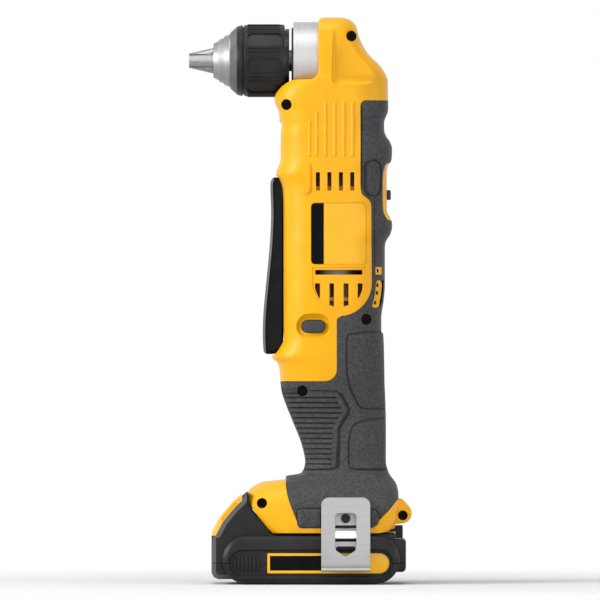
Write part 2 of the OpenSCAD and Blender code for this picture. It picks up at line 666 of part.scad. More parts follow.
// Head: gear case, bearings, spindle and bevel gears
module gear_case() {
    color(alu) difference() {
        union() {
            x_rod(collar_r, -collar_front, -2.2);
            x_rod(18.6, -2.4, case_back);
            x_rod(8.3, case_back - 1, bush_back + 0.6);
            translate([0, 0, case_low]) cylinder(r = 17.4, h = z_axis - case_low - 8);
            translate([0, 0, case_low]) cylinder(r = 21.4, h = 3);
        }
        x_rod(9, -collar_front - 1, -bearing_front + 0.5);
        x_rod(15.02, -bearing_front, -bearing_rear);
        x_rod(16.4, -bearing_rear - eps, case_back - 1.4);
        x_rod(6.82, case_back - 2, bush_back);
        translate([0, 0, pinion_bearing_top - pinion_bearing_h]) cylinder(r = 11.02, h = pinion_bearing_h);
        translate([0, 0, pinion_bearing_top - eps]) cylinder(r = 9.6, h = z_axis - 8.4 - pinion_bearing_top);
        translate([0, 0, case_low - 1]) cylinder(r = case_bore, h = carrier_t + 3.6);
        translate([0, 0, carrier_z]) cylinder(r = 9.6, h = pinion_bearing_top - pinion_bearing_h - carrier_z + eps);
    }
}

module bearing_profile(r_in, r_out, w, ball_r) {
    mid = (r_in + r_out) / 2;
    difference() {
        translate([r_in, 0]) square([(r_out - r_in) / 2 - ball_r * 0.72, w]);
        translate([mid, w / 2]) circle(r = ball_r + 0.04);
    }
    difference() {
        translate([mid + ball_r * 0.72, 0]) square([(r_out - r_in) / 2 - ball_r * 0.72, w]);
        translate([mid, w / 2]) circle(r = ball_r + 0.04);
    }
}

module ball_bearing(r_in, r_out, w, ball_r, balls) {
    rotate_extrude() bearing_profile(r_in, r_out, w, ball_r);
    for (i = [0:balls - 1]) rotate([0, 0, 360 * i / balls])
        translate([(r_in + r_out) / 2, 0, w / 2]) sphere(r = ball_r);
}

module spindle_bearing() {
    color(steel) translate([-bearing_rear - 0.02, 0, z_axis]) rotate([0, -90, 0])
        ball_bearing(spindle_r + run_fit, 15, 8.96, 2.5, 9);
}
module spindle_bush() {
    color(brass) translate([case_back - 1.3, 0, z_axis]) rotate([0, 90, 0]) difference() {
        cylinder(r = 6.8, h = bush_back - case_back + 1.28);
        translate([0, 0, -1]) cylinder(r = spindle_tail_r + run_fit, h = 10);
    }
}
module pinion_bearing() {
    color(steel) translate([0, 0, pinion_bearing_top - pinion_bearing_h + 0.02])
        ball_bearing(pinion_shaft_r + run_fit, 11, 8.96, 2, 9);
}
module dust_seal() {
    color(black) translate([-collar_front - 0.02, 0, z_axis]) rotate([0, -90, 0]) difference() {
        cylinder(r = 18.7, h = 1.1);
        translate([0, 0, -1]) cylinder(r = spindle_r + 1, h = 4);
    }
}
module spindle() {
    color(steel) turned_x([[0, -bush_back + 0.3], [spindle_tail_r - 0.5, -bush_back + 0.3],
        [spindle_tail_r, -bush_back + 0.8], [spindle_tail_r, bearing_rear - 0.4], [spindle_r, bearing_rear - 0.4], [spindle_r, chuck_rear], [thread_r, chuck_rear], [thread_r, thread_front - 0.6],
        [thread_r - 0.6, thread_front], [0, thread_front]]);
}

// Involute tooth: half angle of a tooth at radius r
function involute(a) = tan(a) - a * PI / 180;
function half_angle(r, rp, s) = let (rb = rp * cos(20), q = max(r, rb + 0.0001))
    (s / (2 * rp) + involute(20) - involute(acos(rb / q))) * 180 / PI;
function tooth_radii(rp, add, ded) = let (rb = max(rp * cos(20), rp - ded + 0.05))
    [rp - ded, rb, (rb + rp) / 2, rp, rp + add / 2, rp + add];
function gear_outline(n, m, add, ded, s) = let (rp = n * m / 2, rr = tooth_radii(rp, add, ded))
    [for (i = [0:n - 1]) each concat(
        [for (r = rr) let (a = 360 * i / n - half_angle(r, rp, s)) [r * cos(a), r * sin(a)]],
        [for (k = [len(rr) - 1:-1:0]) let (r = rr[k], a = 360 * i / n + half_angle(r, rp, s)) [r * cos(a), r * sin(a)]])];
function tooth_width(m, play) = PI * m / 2 - play;

// Bevel tooth on its back cone, drawn towards the apex at the origin, gear axis along +Z
function cone_point(rv, delta, ang, k) = [rv * cos(delta) * cos(ang), rv * cos(delta) * sin(ang),
    bevel_cone / cos(delta) - rv * sin(delta)] * k;
module bevel_teeth(n, delta) {
    rp = n * bevel_m / 2 / cos(delta);
    rr = [rp - 1.5 * bevel_m, rp - 0.9 * bevel_m, rp - 0.3 * bevel_m, rp + 0.25 * bevel_m, rp + 0.75 * bevel_m];
    c = len(rr);
    ends = [1, 1 - bevel_face / bevel_cone];
    flank = [for (s = [-1, 1]) [for (r = rr) s * half_angle(r, rp, tooth_width(bevel_m, backlash)) / cos(delta)]];
    pts = [for (k = ends) each concat([for (i = [0:c - 1]) cone_point(rr[i], delta, flank[0][i], k)],
        [for (i = [c - 1:-1:0]) cone_point(rr[i], delta, flank[1][i], k)])];
    m = 2 * c;
    front = [for (i = [0:c - 2]) each [[i, m - 2 - i, i + 1], [i, m - 1 - i, m - 2 - i]]];
    back = [for (f = front) [f[2] + m, f[1] + m, f[0] + m]];
    walls = [for (i = [0:m - 1]) let (j = (i + 1) % m) each [[i, j + m, i + m], [i, j, j + m]]];
    for (t = [0:n - 1]) rotate([0, 0, 360 * t / n]) polyhedron(pts, concat(front, back, walls));
}
function root_at(n, delta, k) = let (rp = n * bevel_m / 2 / cos(delta), r = rp - 1.2 * bevel_m)
    [r * cos(delta), bevel_cone / cos(delta) - r * sin(delta)] * k;
module bevel_blank(n, delta, bore, hub_r, hub_end) {
    k = 1 - bevel_face / bevel_cone;
    a = root_at(n, delta, k);
    b = root_at(n, delta, 1);
    rotate_extrude() polygon([[bore, a[1]], [a[0], a[1]], [b[0], b[1]], [b[0] - 0.6, b[1] + 1.6], [hub_r, b[1] + 1.6],
        [hub_r, hub_end], [bore, hub_end]]);
}

module bevel_gear() {
    color(steel) translate([0, 0, z_axis]) rotate([0, -90, 0]) rotate([0, 0, 180 / gear_n]) {
        bevel_teeth(gear_n, gear_delta);
        bevel_blank(gear_n, gear_delta, spindle_tail_r + 0.02, 8, bearing_rear - 0.5);
    }
}
module bevel_pinion() {
    color(steel) translate([0, 0, z_axis]) mirror([0, 0, 1]) {
        bevel_teeth(pinion_n, pinion_delta);
        bevel_blank(pinion_n, pinion_delta, 0, 5, z_axis - pinion_bearing_top - 0.3);
        translate([0, 0, z_axis - pinion_bearing_top - 0.4])
            cylinder(r = pinion_shaft_r, h = pinion_bearing_top + 0.4 - carrier_z - 0.6);
    }
}
module planet_carrier() {
    color(steel) {
        difference() {
            translate([0, 0, carrier_z]) cylinder(r = 13.6, h = carrier_t);
            translate([0, 0, carrier_z + 0.58]) cylinder(r = pinion_shaft_r + 0.02, h = 10);
        }
        for (a = [0, 120, 240]) rotate([0, 0, a]) translate([planet_d, 0, z_planet - 0.4])
            cylinder(r = 2, h = carrier_z - z_planet + 0.9);
    }
}
module planet(k) {
    color(steel) rotate([0, 0, 120 * k]) translate([planet_d, 0, z_planet]) rotate([0, 0, 180 / planet_n]) difference() {
        linear_extrude(planet_h) polygon(gear_outline(planet_n, planet_m, 0.8 * planet_m, 1.25 * planet_m,
            tooth_width(planet_m, backlash)));
        translate([0, 0, -1]) cylinder(r = 2 + run_fit, h = planet_h + 2);
    }
}
module planet_gear_1() { planet(0); }
module planet_gear_2() { planet(1); }
module planet_gear_3() { planet(2); }
module ring_gear() {
    color(steel) difference() {
        translate([0, 0, ring_low]) cylinder(r = 21.4, h = ring_h - 0.02);
        translate([0, 0, ring_low - 1]) rotate([0, 0, 180 / ring_n]) linear_extrude(ring_h + 2)
            polygon(gear_outline(ring_n, planet_m, 1.25 * planet_m, 0.8 * planet_m, tooth_width(planet_m, -backlash)));
    }
}
module sun_gear() {
    color(steel) translate([0, 0, z_planet - 0.6]) difference() {
        linear_extrude(planet_h + 1.6) polygon(gear_outline(sun_n, planet_m, 0.8 * planet_m, 1.25 * planet_m,
            tooth_width(planet_m, backlash)));
        translate([0, 0, -1]) cylinder(r = motor_shaft_r + 0.01, h = planet_h + 5);
    }
}

// Motor
module motor_shaft() {
    color(steel) translate([0, 0, cap_low + 0.4])
        cylinder(r = motor_shaft_r, h = z_planet + planet_h + 1 - cap_low - 0.4);
}
module armature_core() {
    color(steel) translate([0, 0, core_low]) difference() {
        cylinder(r = armature_r, h = core_top - core_low);
        translate([0, 0, -1]) cylinder(r = motor_shaft_r + 0.01, h = can_h);
        for (i = [0:9]) rotate([0, 0, 36 * i]) translate([9, -1.2, -1]) cube([10, 2.4, can_h]);
    }
}
module armature_windings() {
    color(copper) for (z = [core_low - 7, core_top + 0.02]) translate([0, 0, z]) rotate_extrude()
        polygon([[6.6, 0], [11.2, 0], [13, 1.8], [13, 4.2], [11.8, 5.6], [6.6, 5.6]]);
    color(copper) for (i = [0:9]) rotate([0, 0, 36 * i]) translate([9.2, -1, core_low - 1.4])
        cube([4.6, 2, core_top - core_low + 1.42]);
}
module commutator() {
    color(copper) translate([0, 0, comm_low]) difference() {
        cylinder(r = commutator_r, h = comm_h);
        translate([0, 0, -1]) cylinder(r = motor_shaft_r + 0.01, h = 20);
        for (i = [0:9]) rotate([0, 0, 36 * i + 18]) translate([5.2, -0.3, -1]) cube([4, 0.6, comm_h - 1]);
    }
}
module cooling_fan() {
    color(black) translate([0, 0, fan_low]) difference() {
        union() {
            cylinder(r = 5, h = fan_h);
            cylinder(r1 = 16.6, r2 = 11.6, h = fan_h - 1.2);
            for (i = [0:10]) rotate([0, 0, 360 * (i + 0.5) / 11])
                translate([8, -0.6, 1.5]) cube([7.6, 1.2, fan_h - 2.1]);
        }
        translate([0, 0, -1]) cylinder(r = motor_shaft_r + 0.01, h = 20);
        // hollow underside of the conical plate
        translate([0, 0, -1]) difference() {
            cylinder(r1 = 15.8, r2 = 10.4, h = fan_h - 1.4);
            translate([0, 0, -1]) cylinder(r = 5, h = 20);
        }
    }
}
module motor_can() {
    color(alu) difference() {
        translate([0, 0, can_low]) cylinder(r = can_r, h = can_h);
        translate([0, 0, can_low - 1]) cylinder(r = can_r - can_t, h = can_h - can_t + 1);
        translate([0, 0, can_low]) cylinder(r = 6.02, h = can_h + 5);
        for (a = [45:90:315]) rotate([0, 0, a]) translate([11.5, 0, can_top - 5]) cylinder(r = 3, h = 10);
    }
}
module motor_bearing() {
    color(brass) translate([0, 0, can_top - 4]) difference() {
        cylinder(r = 6, h = 5.4);
        translate([0, 0, -1]) cylinder(r = motor_shaft_r + run_fit, h = 10);
    }
}
module motor_magnets() {
    color([0.25, 0.25, 0.27]) for (s = [0, 180]) rotate([0, 0, s]) translate([0, 0, core_low - 2]) difference() {
        cylinder(r = can_r - can_t - 0.02, h = core_top - core_low + 4);
        translate([0, 0, -1]) cylinder(r = armature_r + 0.6, h = can_h);
        for (m = [0, 1]) mirror([0, m, 0]) rotate([0, 0, 62]) translate([-60, 0, -1]) cube([120, 60, can_h]);
        translate([-60, -60, -1]) cube([60, 120, can_h]);
    }
}
module motor_end_cap() {
    color(black) difference() {
        union() {
            translate([0, 0, cap_low]) cylinder(r = cap_r, h = 3.4);
            translate([0, 0, cap_low]) cylinder(r = 8, h = 4.2);
            difference() {
                translate([0, 0, cap_low]) cylinder(r = cap_r, h = can_low - cap_low - 0.02);
                translate([0, 0, cap_low - 1]) cylinder(r = cap_r - 2, h = can_h);
                for (a = [0, 180]) rotate([0, 0, a]) translate([10, -7, cap_low + 5]) cube([20, 14, 9.5]);
            }
            for (s = [-1, 1]) translate([-4, s * 12.7 - 4.2, cap_low + 3]) cube([8, 8.4, 12]);
        }
        translate([0, 0, cap_low - 1]) cylinder(r = motor_shaft_r + run_fit, h = 20);
        translate([-2.42, -30, comm_low + 1.98]) cube([4.84, 60, 7.04]);
    }
}
module carbon_brushes() {
    color([0.12, 0.12, 0.12]) for (s = [-1, 1])
        translate([-2.4, s > 0 ? commutator_r + 0.35 : -commutator_r - 10.35, comm_low + 2]) cube([4.8, 10, 7]);
}

// Chuck
function jaw_off(x) = jaw_tip_off + (jaw_tip - x) * tan(jaw_slant);
module jaw_axis(k) {
    translate([-jaw_tip, 0, z_axis]) rotate([180 + 120 * k, 0, 0]) translate([0, jaw_tip_off, 0])
        rotate([0, 0, jaw_slant]) children();
}
module jaw(k) {
    color(steel) intersection() {
        difference() {
            jaw_axis(k) rotate([0, 90, 0]) translate([0, 0, -6])
                cylinder(r = jaw_r, h = jaw_l / cos(jaw_slant) + 6);
            translate([-jaw_tip - 20, -30, z_axis - 30]) cube([20, 60, 60]);
        }
        // gripping wedge of 120 degrees
        translate([-100, 0, z_axis]) rotate([180 + 120 * k, 0, 0]) rotate([0, 90, 0]) linear_extrude(90)
            polygon([[0, jaw_gap], [40, jaw_gap + 40 / tan(60)], [0, 60], [-40, jaw_gap + 40 / tan(60)]]);
    }
}
module jaw_1() { jaw(0); }
module jaw_2() { jaw(1); }
module jaw_3() { jaw(2); }
module chuck_body() {
    color(steel) difference() {
        turned_x([[0, chuck_rear], [chuck_body_r, chuck_rear], [chuck_body_r, nut_rear - 0.1],
            [jaw_off(nut_rear) + jaw_r + 0.1, nut_rear - 0.1], [jaw_off(nut_front) + jaw_r - 0.5, nut_front + 0.1],
            [chuck_body_r, nut_front + 0.1], [chuck_body_r, sleeve_front - 4.9], [14.9, sleeve_front - 2.3],
            [14.9, sleeve_front + 0.6],
            [13.6, sleeve_front + 3.6], [12.9, sleeve_front + 3.6], [12.6, sleeve_front + 4.4], [11.9, sleeve_front + 6.4],
            [11.2, sleeve_front + 6.4], [10.9, sleeve_front + 7.2], [9.6, chuck_nose], [0, chuck_nose]]);
        x_rod(bore_r, -chuck_nose - 1, -thread_front - 3);
        x_rod(thread_r + 0.01, -thread_front - 0.4, -chuck_rear + 1);
        for (k = [0:2]) jaw_axis(k) rotate([0, 90, 0])
            cylinder(r = jaw_r + 0.06, h = jaw_l / cos(jaw_slant) + jaw_travel + 0.6);
    }
}
module chuck_rear_collar() {
    color(steel) translate([-chuck_rear, 0, z_axis]) rotate([0, -90, 0]) difference() {
        cylinder(r = 18.1, h = sleeve_rear - chuck_rear - 0.2);
        translate([0, 0, -1]) cylinder(r = chuck_body_r + 0.02, h = 6);
    }
}
module flute_cut() {
    translate([-sleeve_front + 7.8, 0, z_axis + sleeve_r + 3.8]) rotate([0, 90, 0])
        cylinder(r = 5.2, h = sleeve_front - sleeve_rear - 9.9);
}
module chuck_sleeve() {
    color(black) difference() {
        turned_x([[chuck_body_r + 0.3, sleeve_rear], [sleeve_r - 0.4, sleeve_rear], [sleeve_r, sleeve_rear + 0.8],
            [sleeve_r - 0.5, sleeve_front - 6.7], [sleeve_r - 1.1, sleeve_front - 3.9], [15.9, sleeve_front],
            [15.2, sleeve_front], [15.2, sleeve_front - 2.1], [chuck_body_r + 0.3, sleeve_front - 4.6]]);
        for (i = [0:flutes - 1]) translate([0, 0, z_axis]) rotate([360 * i / flutes + 8.7, 0, 0])
            translate([0, 0, -z_axis]) flute_cut();
    }
}
module chuck_nut() {
    color(steel) turned_x([[jaw_off(nut_rear) + jaw_r + 0.42, nut_rear], [chuck_body_r + 0.27, nut_rear],
        [chuck_body_r + 0.27, nut_front], [jaw_off(nut_front) + jaw_r + 0.42, nut_front]]);
}

// Controls
module trigger() {
    color(black) difference() {
        union() {
            along_y(2 * trigger_half - 4) trigger_outline();
            along_y(2 * trigger_half - 1.6) offset(delta = -0.7) trigger_outline();
            along_y(2 * trigger_half) offset(delta = -1.8) trigger_outline();
        }
        y_rod(pivot[0], pivot[1], trigger_pin_r + run_fit, -20, 20);
    }
}
module trigger_pin() {
    color(steel) y_rod(pivot[0], pivot[1], trigger_pin_r, -14, 14);
}
module switch_plunger() {
    color(black) translate([-trigger_back + 0.4, 0, plunger_z]) rotate([0, 90, 0])
        cylinder(r = plunger_r, h = trigger_back + switch_front + 8.6);
}
module switch_module() {
    color([0.22, 0.22, 0.24]) difference() {
        union() {
            translate([switch_front, -switch_half, switch_low])
                cube([switch_back - switch_front, 2 * switch_half, switch_top - switch_low]);
            translate([switch_back - 1, -8, switch_low + 3]) cube([6, 16, 12]);
        }
        translate([switch_front - 1, 0, plunger_z]) rotate([0, 90, 0]) cylinder(r = plunger_r + run_fit, h = 20.5);
    }
}
module direction_button() {
    y = side_y(button_x, button_z) - 0.2;
    color(black) {
        button_shape(0, -y, y);
        // flange that keeps the button in the housing
        button_shape(1, -16, 16);
        translate([button_x - 3, -4, switch_top + 0.3]) cube([6, 8, button_z - switch_top - 0.3]);
    }
}
module speed_selector() {
    plate = motor_back + 1.2 - wall - 3.6;
    color(black) {
        translate([plate, -selector_half - 3, selector_z - 6.5]) cube([1.6, 2 * selector_half + 6, 13]);
        translate([plate + 1, -selector_half, selector_z - 2.8]) cube([wall + 4.2, 2 * selector_half, 5.6]);
        translate([motor_back + 1.7, -selector_half - 0.6, selector_z - 2.8]) cube([1.8, 2 * selector_half + 1.2, 5.6]);
    }
}
module led_lens() {
    color([0.9, 0.95, 1]) translate([along(front_edge, led_z) + 0.1, 0, led_z]) rotate([0, 90, 0])
        cylinder(r = led_r, h = 4.5);
}
module housing_screws() {
    color(steel) for (p = screw_places) difference() {
        union() {
            y_rod(p[0], p[1], screw_head_r, screw_seat(p) - 1.9, screw_seat(p) - 0.02);
            y_rod(p[0], p[1], screw_r, screw_seat(p) - 0.1, 10);
        }
        y_rod(p[0], p[1], 1.3, screw_seat(p) - 3, screw_seat(p) - 0.9, $fn = 6);
    }
}

// Foot: terminals, wires and belt hook
module terminal_block() {
    color([0.2, 0.2, 0.22]) difference() {
        union() {
            translate([14, -lip_half + 3.5, z_foot + lip_h + 0.4])
                cube([channel_back - 14.1, 2 * lip_half - 7, channel_top - z_foot - lip_h - 0.5]);
            // tail under the back wall of the foot and the stop behind the pack
            translate([channel_back - 3, -stop_half, z_foot + 0.4]) cube([2.9, 2 * stop_half, lip_h + 0.4]);
            translate([channel_back - 0.2, -stop_half, z_foot + 0.4])
                cube([foot_back + 2.5 - channel_back, 2 * stop_half, 2.4]);
            translate([foot_back - 1.7, -stop_half, z_foot - 3.2]) cube([4.2, 2 * stop_half, 7]);
        }
        for (y = [-12:6:12]) translate([13, y - 0.42, z_foot + 5.4]) cube([9, 0.84, 7]);
    }
}
module terminal_blades() {
    color(brass) for (y = [-12:6:12]) translate([7, y - 0.4, z_foot + 5.5]) cube([14.8, 0.8, 6.6]);
}
module wire(path, r) {
    skin([for (i = [0:len(path) - 1]) let (d = path[min(i + 1, len(path) - 1)] - path[max(i - 1, 0)],
        u = cross([0, 1, 0], d) / norm(cross([0, 1, 0], d)), v = cross(d, u) / norm(cross(d, u)))
        [for (a = [0:45:315]) path[i] + r * cos(a) * u + r * sin(a) * v]]);
}
module wire_harness() {
    color([0.7, 0.1, 0.1]) for (s = [-1, 1]) {
        wire([[18, 4 * s, channel_top - 0.05], [18, 4 * s, channel_top + 5], [16, 4 * s, z_grip - 6],
            [10, 4 * s, z_grip + 4], [8.5, 4 * s, z_grip + 20], [8.5, 4 * s, z_motor - 14],
            [11.5, 4 * s, z_motor - 4], [11.5, 4 * s, z_motor + 3.4]], 1.3);
        wire([[11.5, 5 * s, z_motor + 15.7], [11.5, 5 * s, z_motor + 20], [9.6, 5 * s, z_motor + 27],
            [9.4, 5 * s, z_motor + 33], [9.4, 5 * s, cap_low - 0.05]], 1.1);
    }
}
module belt_hook() {
    bend = (hook_outer - hook_drop - hook_t) / 2;
    mid = hook_drop + hook_t + bend;
    low = hook_low + bend + hook_t;
    color(steel) difference() {
        // hairpin of sheet steel: inner leaf on the foot, slanted jog, bend below, outer leaf
        translate([hook_x, 0, 0]) rotate([90, 0, 90]) linear_extrude(hook_w, center = true) polygon(concat(
            [[-hook_inner, hook_top - 2], [-hook_inner - hook_t, hook_top - 2], [-hook_inner - hook_t, z_foot + 3.4],
            [-hook_drop - hook_t, z_foot - 1.6]],
            [for (a = [0:-30:-180]) [-mid + bend * cos(a), low + bend * sin(a)]],
            [[-hook_outer, hook_top], [-hook_outer - hook_t, hook_top]],
            [for (a = [-180:30:0]) [-mid + (bend + hook_t) * cos(a), low + (bend + hook_t) * sin(a)]],
            [[-hook_drop, z_foot - 1], [-hook_inner, z_foot + 4]]));
        for (s = [-1, 1]) translate([hook_x + s * (hook_w / 2 - hook_r), -hook_outer + 1, hook_top - hook_r])
            rotate([90, 0, 0]) linear_extrude(hook_t + 2) polygon(concat([for (a = [0:22.5:90])
                [s * hook_r * cos(a), hook_r * sin(a)]], [[0, hook_r + 1], [s * (hook_r + 1), hook_r + 1],
                [s * (hook_r + 1), 0]]));
        // window of the outer leaf, slot and screw hole of the inner leaf
        translate([hook_x, -hook_outer + 1, 0]) rotate([90, 0, 0]) linear_extrude(hook_t + 2)
            polygon([[-6, 20], [-1.6, 15.6], [1.6, 15.6], [6, 20], [6, 38.5], [4.5, 40], [-4.5, 40], [-6, 38.5]]);
        translate([hook_x - 5.5, -hook_drop - hook_t - 1, low + 1]) cube([11, hook_t + 2, z_foot - low - 8.5]);
        y_rod(hook_x, hook_screw_z, 1.62, -hook_inner - hook_t - 1, -hook_inner + 1, $fn = 16);
    }
}
module hook_insert() {
    color(brass) difference() {
        y_rod(hook_x, hook_screw_z, insert_r, channel_half + 0.82, foot_half - 0.2);
        y_rod(hook_x, hook_screw_z, insert_bore, channel_half - 1, foot_half + 1);
    }
}
module belt_hook_screw() {
    color(steel) difference() {
        union() {
            y_rod(hook_x, hook_screw_z, 1.5, -hook_inner - 2, -hook_inner + 5);
            y_rod(hook_x, hook_screw_z, 2.6, -hook_inner - hook_t - 2.2, -hook_inner - hook_t - 0.02);
        }
        y_rod(hook_x, hook_screw_z, 1.4, -hook_inner - hook_t - 4, -hook_inner - hook_t - 1, $fn = 6);
    }
}

// Battery pack
module pack_side() {
    translate([(pack_front + pack_back) / 2, pack_top / 2]) stadium_exact(pack_back - pack_front, pack_top);
}
module stadium_exact(l, h) {
    square([l - h, h], center = true);
    for (s = [-1, 1]) translate([s * (l - h) / 2, 0]) circle(d = h);
}
module pack_outside() {
    along_y(2 * pack_half - 2 * rim_t) pack_side();
    // front block and rear block
    along_y(2 * pack_half - 12) polygon([[-69.8, 6], [-66, 2.4], [-50, 2.4], [-50, pack_top], [-69.8, pack_top]]);
    along_y(2 * pack_half - 16) polygon([[30, 6.4], [38.6, 6.4], [40.1, 8], [40.1, 24.6], [30, 24.6]]);
    // raised band around each side panel
    for (s = [-1, 1]) translate([0, s * (pack_half - rim_t / 2 - 0.4), 0]) along_y(rim_t + 0.8) difference() {
        pack_side();
        translate([-13.5, seam_z]) stadium_exact(92, 14.4);
    }
}
module riser_area() {
    gap = 0.7;
    back = [for (d = [22, 15.5, 12.5, 6.8, 1.2, 0.4]) [along(front_edge, z_foot + d) - gap, z_foot + d]];
    slope = [for (p = latch_line) [p[0] + 2.6, z_foot + p[1] - 2.8]];
    polygon(concat(slope, [[-50.6, z_foot + 22.6]], [for (i = [0:5]) back[i]],
        [[-33, pack_top], [-33, pack_top - 3], [-67.4, pack_top - 3]]));
}
module latch_area() {
    inner = [for (i = [len(latch_line) - 1:-1:0]) latch_line[i] + [2.2, -2.6]];
    polygon([for (p = concat(latch_line, inner)) [p[0], z_foot + p[1]]]);
}
module latch_solid(grow, drop) {
    along_y(2 * latch_half + 2 * grow) hull() for (z = [0, -drop]) translate([0, z])
        offset(delta = grow) latch_area();
}
module pack_rails() {
    translate([-44, -lip_half + rail_gap, pack_top - 1]) cube([56, 2 * lip_half - 2 * rail_gap, 8]);
    translate([-44, -channel_half + rail_gap, z_foot + lip_h + rail_gap])
        cube([56, 2 * channel_half - 2 * rail_gap, channel_top - z_foot - lip_h - 2 * rail_gap]);
}
module pack_hollow() {
    along_y(cell_l + 3) translate([cell_x, pack_top / 2])
        stadium_exact(pack_back - pack_front - 2 * pack_wall, pack_top - 2 * pack_wall);
}
module battery_upper_case() {
    color(black) difference() {
        union() {
            difference() {
                pack_outside();
                translate([-100, -100, -50]) cube([200, 200, 50 + seam_z + 0.03]);
            }
            along_y(2 * pack_half - 12) riser_area();
            pack_rails();
        }
        pack_hollow();
        for (i = [0:len(latch_line) - 2]) latch_slot(i);
        translate([-60, -latch_half - 0.4, z_foot + 8]) cube([13.6, 2 * latch_half + 0.8, 20]);
        translate([-76, -latch_half - 0.4, z_foot - latch_travel - 4.6])
            cube([8.9, 2 * latch_half + 0.8, latch_travel + 9.6]);
        // slots for the terminal blades
        for (y = [-12:6:12]) translate([6, y - 0.9, z_foot + 4.6]) cube([10, 1.8, 12]);
        for (p = pack_screws) translate([p[0], p[1], 0]) cylinder(r = 1.55, h = seam_z + 8);
    }
}
module latch_slot(i) {
    a = latch_line[i];
    b = latch_line[i + 1];
    along_y(2 * latch_half + 0.8) polygon([[a[0] - 6, z_foot + a[1] + 4], [a[0] + 2.8, z_foot + a[1] - 3 - latch_travel],
        [b[0] + 2.8, z_foot + b[1] - 3 - latch_travel], [b[0] + 1, z_foot + b[1] + 4]]);
}
module battery_lower_case() {
    color(black) difference() {
        intersection() {
            pack_outside();
            translate([-100, -100, -50]) cube([200, 200, 50 + seam_z]);
        }
        pack_hollow();
        for (p = pack_screws) translate([p[0], p[1], -1]) {
            cylinder(r = 1.7, h = 30);
            cylinder(r = 2.3, h = pack_screw_z + 1);
        }
    }
}
module battery_screws() {
    color(steel) for (p = pack_screws) translate([p[0], p[1], 0]) difference() {
        union() {
            translate([0, 0, pack_screw_z - 1.9]) cylinder(r = 2.2, h = 1.88);
            translate([0, 0, pack_screw_z - 0.5]) cylinder(r = 1.5, h = seam_z - pack_screw_z + 8);
        }
        translate([0, 0, pack_screw_z - 3]) cylinder(r = 1.2, h = 2, $fn = 6);
    }
}
module battery_cells() {
    color([0.2, 0.45, 0.35]) for (i = [-2:2])
        y_rod(cell_x + i * cell_pitch, pack_top / 2, cell_r, -cell_l / 2, cell_l / 2);
}
module battery_bus_bars() {
    color(brass) for (s = [-1, 1]) translate([cell_x, s * (cell_l / 2 + 0.5), pack_top / 2])
        cube([4 * cell_pitch + 8, 0.9, 7], center = true);
}
module pack_label(side) {
    along_y(0.5) intersection() {
        translate([-2, seam_z]) square([70, 11.4], center = true);
        translate([-13.5, seam_z]) stadium_exact(90.8, 13.2);
    }
}
module battery_label_left() { color(yellow) translate([0, -pack_half + rim_t - 0.27, 0]) pack_label(-1); }
module battery_label_right() { color(yellow) translate([0, pack_half - rim_t + 0.27, 0]) pack_label(1); }
module battery_finger_ribs() {
    color(black) for (s = [-1, 1], i = [0:6]) translate([-56.7 + 2.16 * i, s * (pack_half - rim_t + 0.62), seam_z])
        cube([1.1, 1.2, i == 0 ? 5 : 9.2], center = true);
}
module battery_latch() {
    color(yellow) {
        along_y(2 * latch_half) latch_area();
        translate([-55, -latch_half + 2, z_foot + 15.2]) cube([8.4, 2 * latch_half - 4, 3.6]);
    }
}

left_housing();
right_housing();
left_grip();
right_grip();
left_label();
right_label();
gear_case();
spindle_bearing();
spindle_bush();
pinion_bearing();
dust_seal();
spindle();
bevel_gear();
bevel_pinion();
planet_carrier();
planet_gear_1();
planet_gear_2();
planet_gear_3();
ring_gear();
sun_gear();
motor_shaft();
armature_core();
armature_windings();
commutator();
cooling_fan();
motor_can();
motor_bearing();
motor_magnets();
motor_end_cap();
carbon_brushes();
jaw_1();
jaw_2();
jaw_3();
chuck_body();
chuck_rear_collar();
chuck_sleeve();
chuck_nut();
trigger();
trigger_pin();
switch_plunger();
switch_module();
direction_button();
speed_selector();
led_lens();
housing_screws();
terminal_block();
terminal_blades();
wire_harness();
belt_hook();
belt_hook_screw();
hook_insert();
battery_upper_case();
battery_lower_case();
battery_screws();
battery_cells();
battery_bus_bars();
battery_label_left();
battery_label_right();
battery_finger_ribs();
battery_latch();
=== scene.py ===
# %% [markdown]
# # Dressing a right angle drill
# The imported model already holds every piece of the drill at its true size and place. This lesson
# keeps the exact machine parts, gives them real finishes, and models the moulded outside again with
# round edges, grooves and grain. Everything is in metres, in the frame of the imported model.

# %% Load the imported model
import math
import bpy
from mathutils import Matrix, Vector


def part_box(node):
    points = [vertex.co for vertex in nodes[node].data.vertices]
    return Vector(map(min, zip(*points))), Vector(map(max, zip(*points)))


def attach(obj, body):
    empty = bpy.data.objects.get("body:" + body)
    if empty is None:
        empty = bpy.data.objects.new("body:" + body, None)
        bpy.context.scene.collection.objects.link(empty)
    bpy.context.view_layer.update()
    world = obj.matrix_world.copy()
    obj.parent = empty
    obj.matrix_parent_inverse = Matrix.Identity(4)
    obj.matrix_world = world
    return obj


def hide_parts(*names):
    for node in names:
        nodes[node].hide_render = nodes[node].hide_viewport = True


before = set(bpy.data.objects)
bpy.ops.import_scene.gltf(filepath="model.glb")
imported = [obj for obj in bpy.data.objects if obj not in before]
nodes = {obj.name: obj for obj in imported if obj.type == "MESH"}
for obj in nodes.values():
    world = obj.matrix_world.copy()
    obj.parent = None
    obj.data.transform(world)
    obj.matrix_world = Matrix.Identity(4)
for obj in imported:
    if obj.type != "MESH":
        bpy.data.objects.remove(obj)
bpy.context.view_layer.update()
MM = 0.001

# %% [markdown]
# ## Camera, floor and light
# The tool is seen square from its left side with hardly any perspective, so the camera stands far
# away with a very long lens. The floor is a pale disc that fades out, and the world is white where
# the camera or a reflection looks at it, but lights the piece more softly.

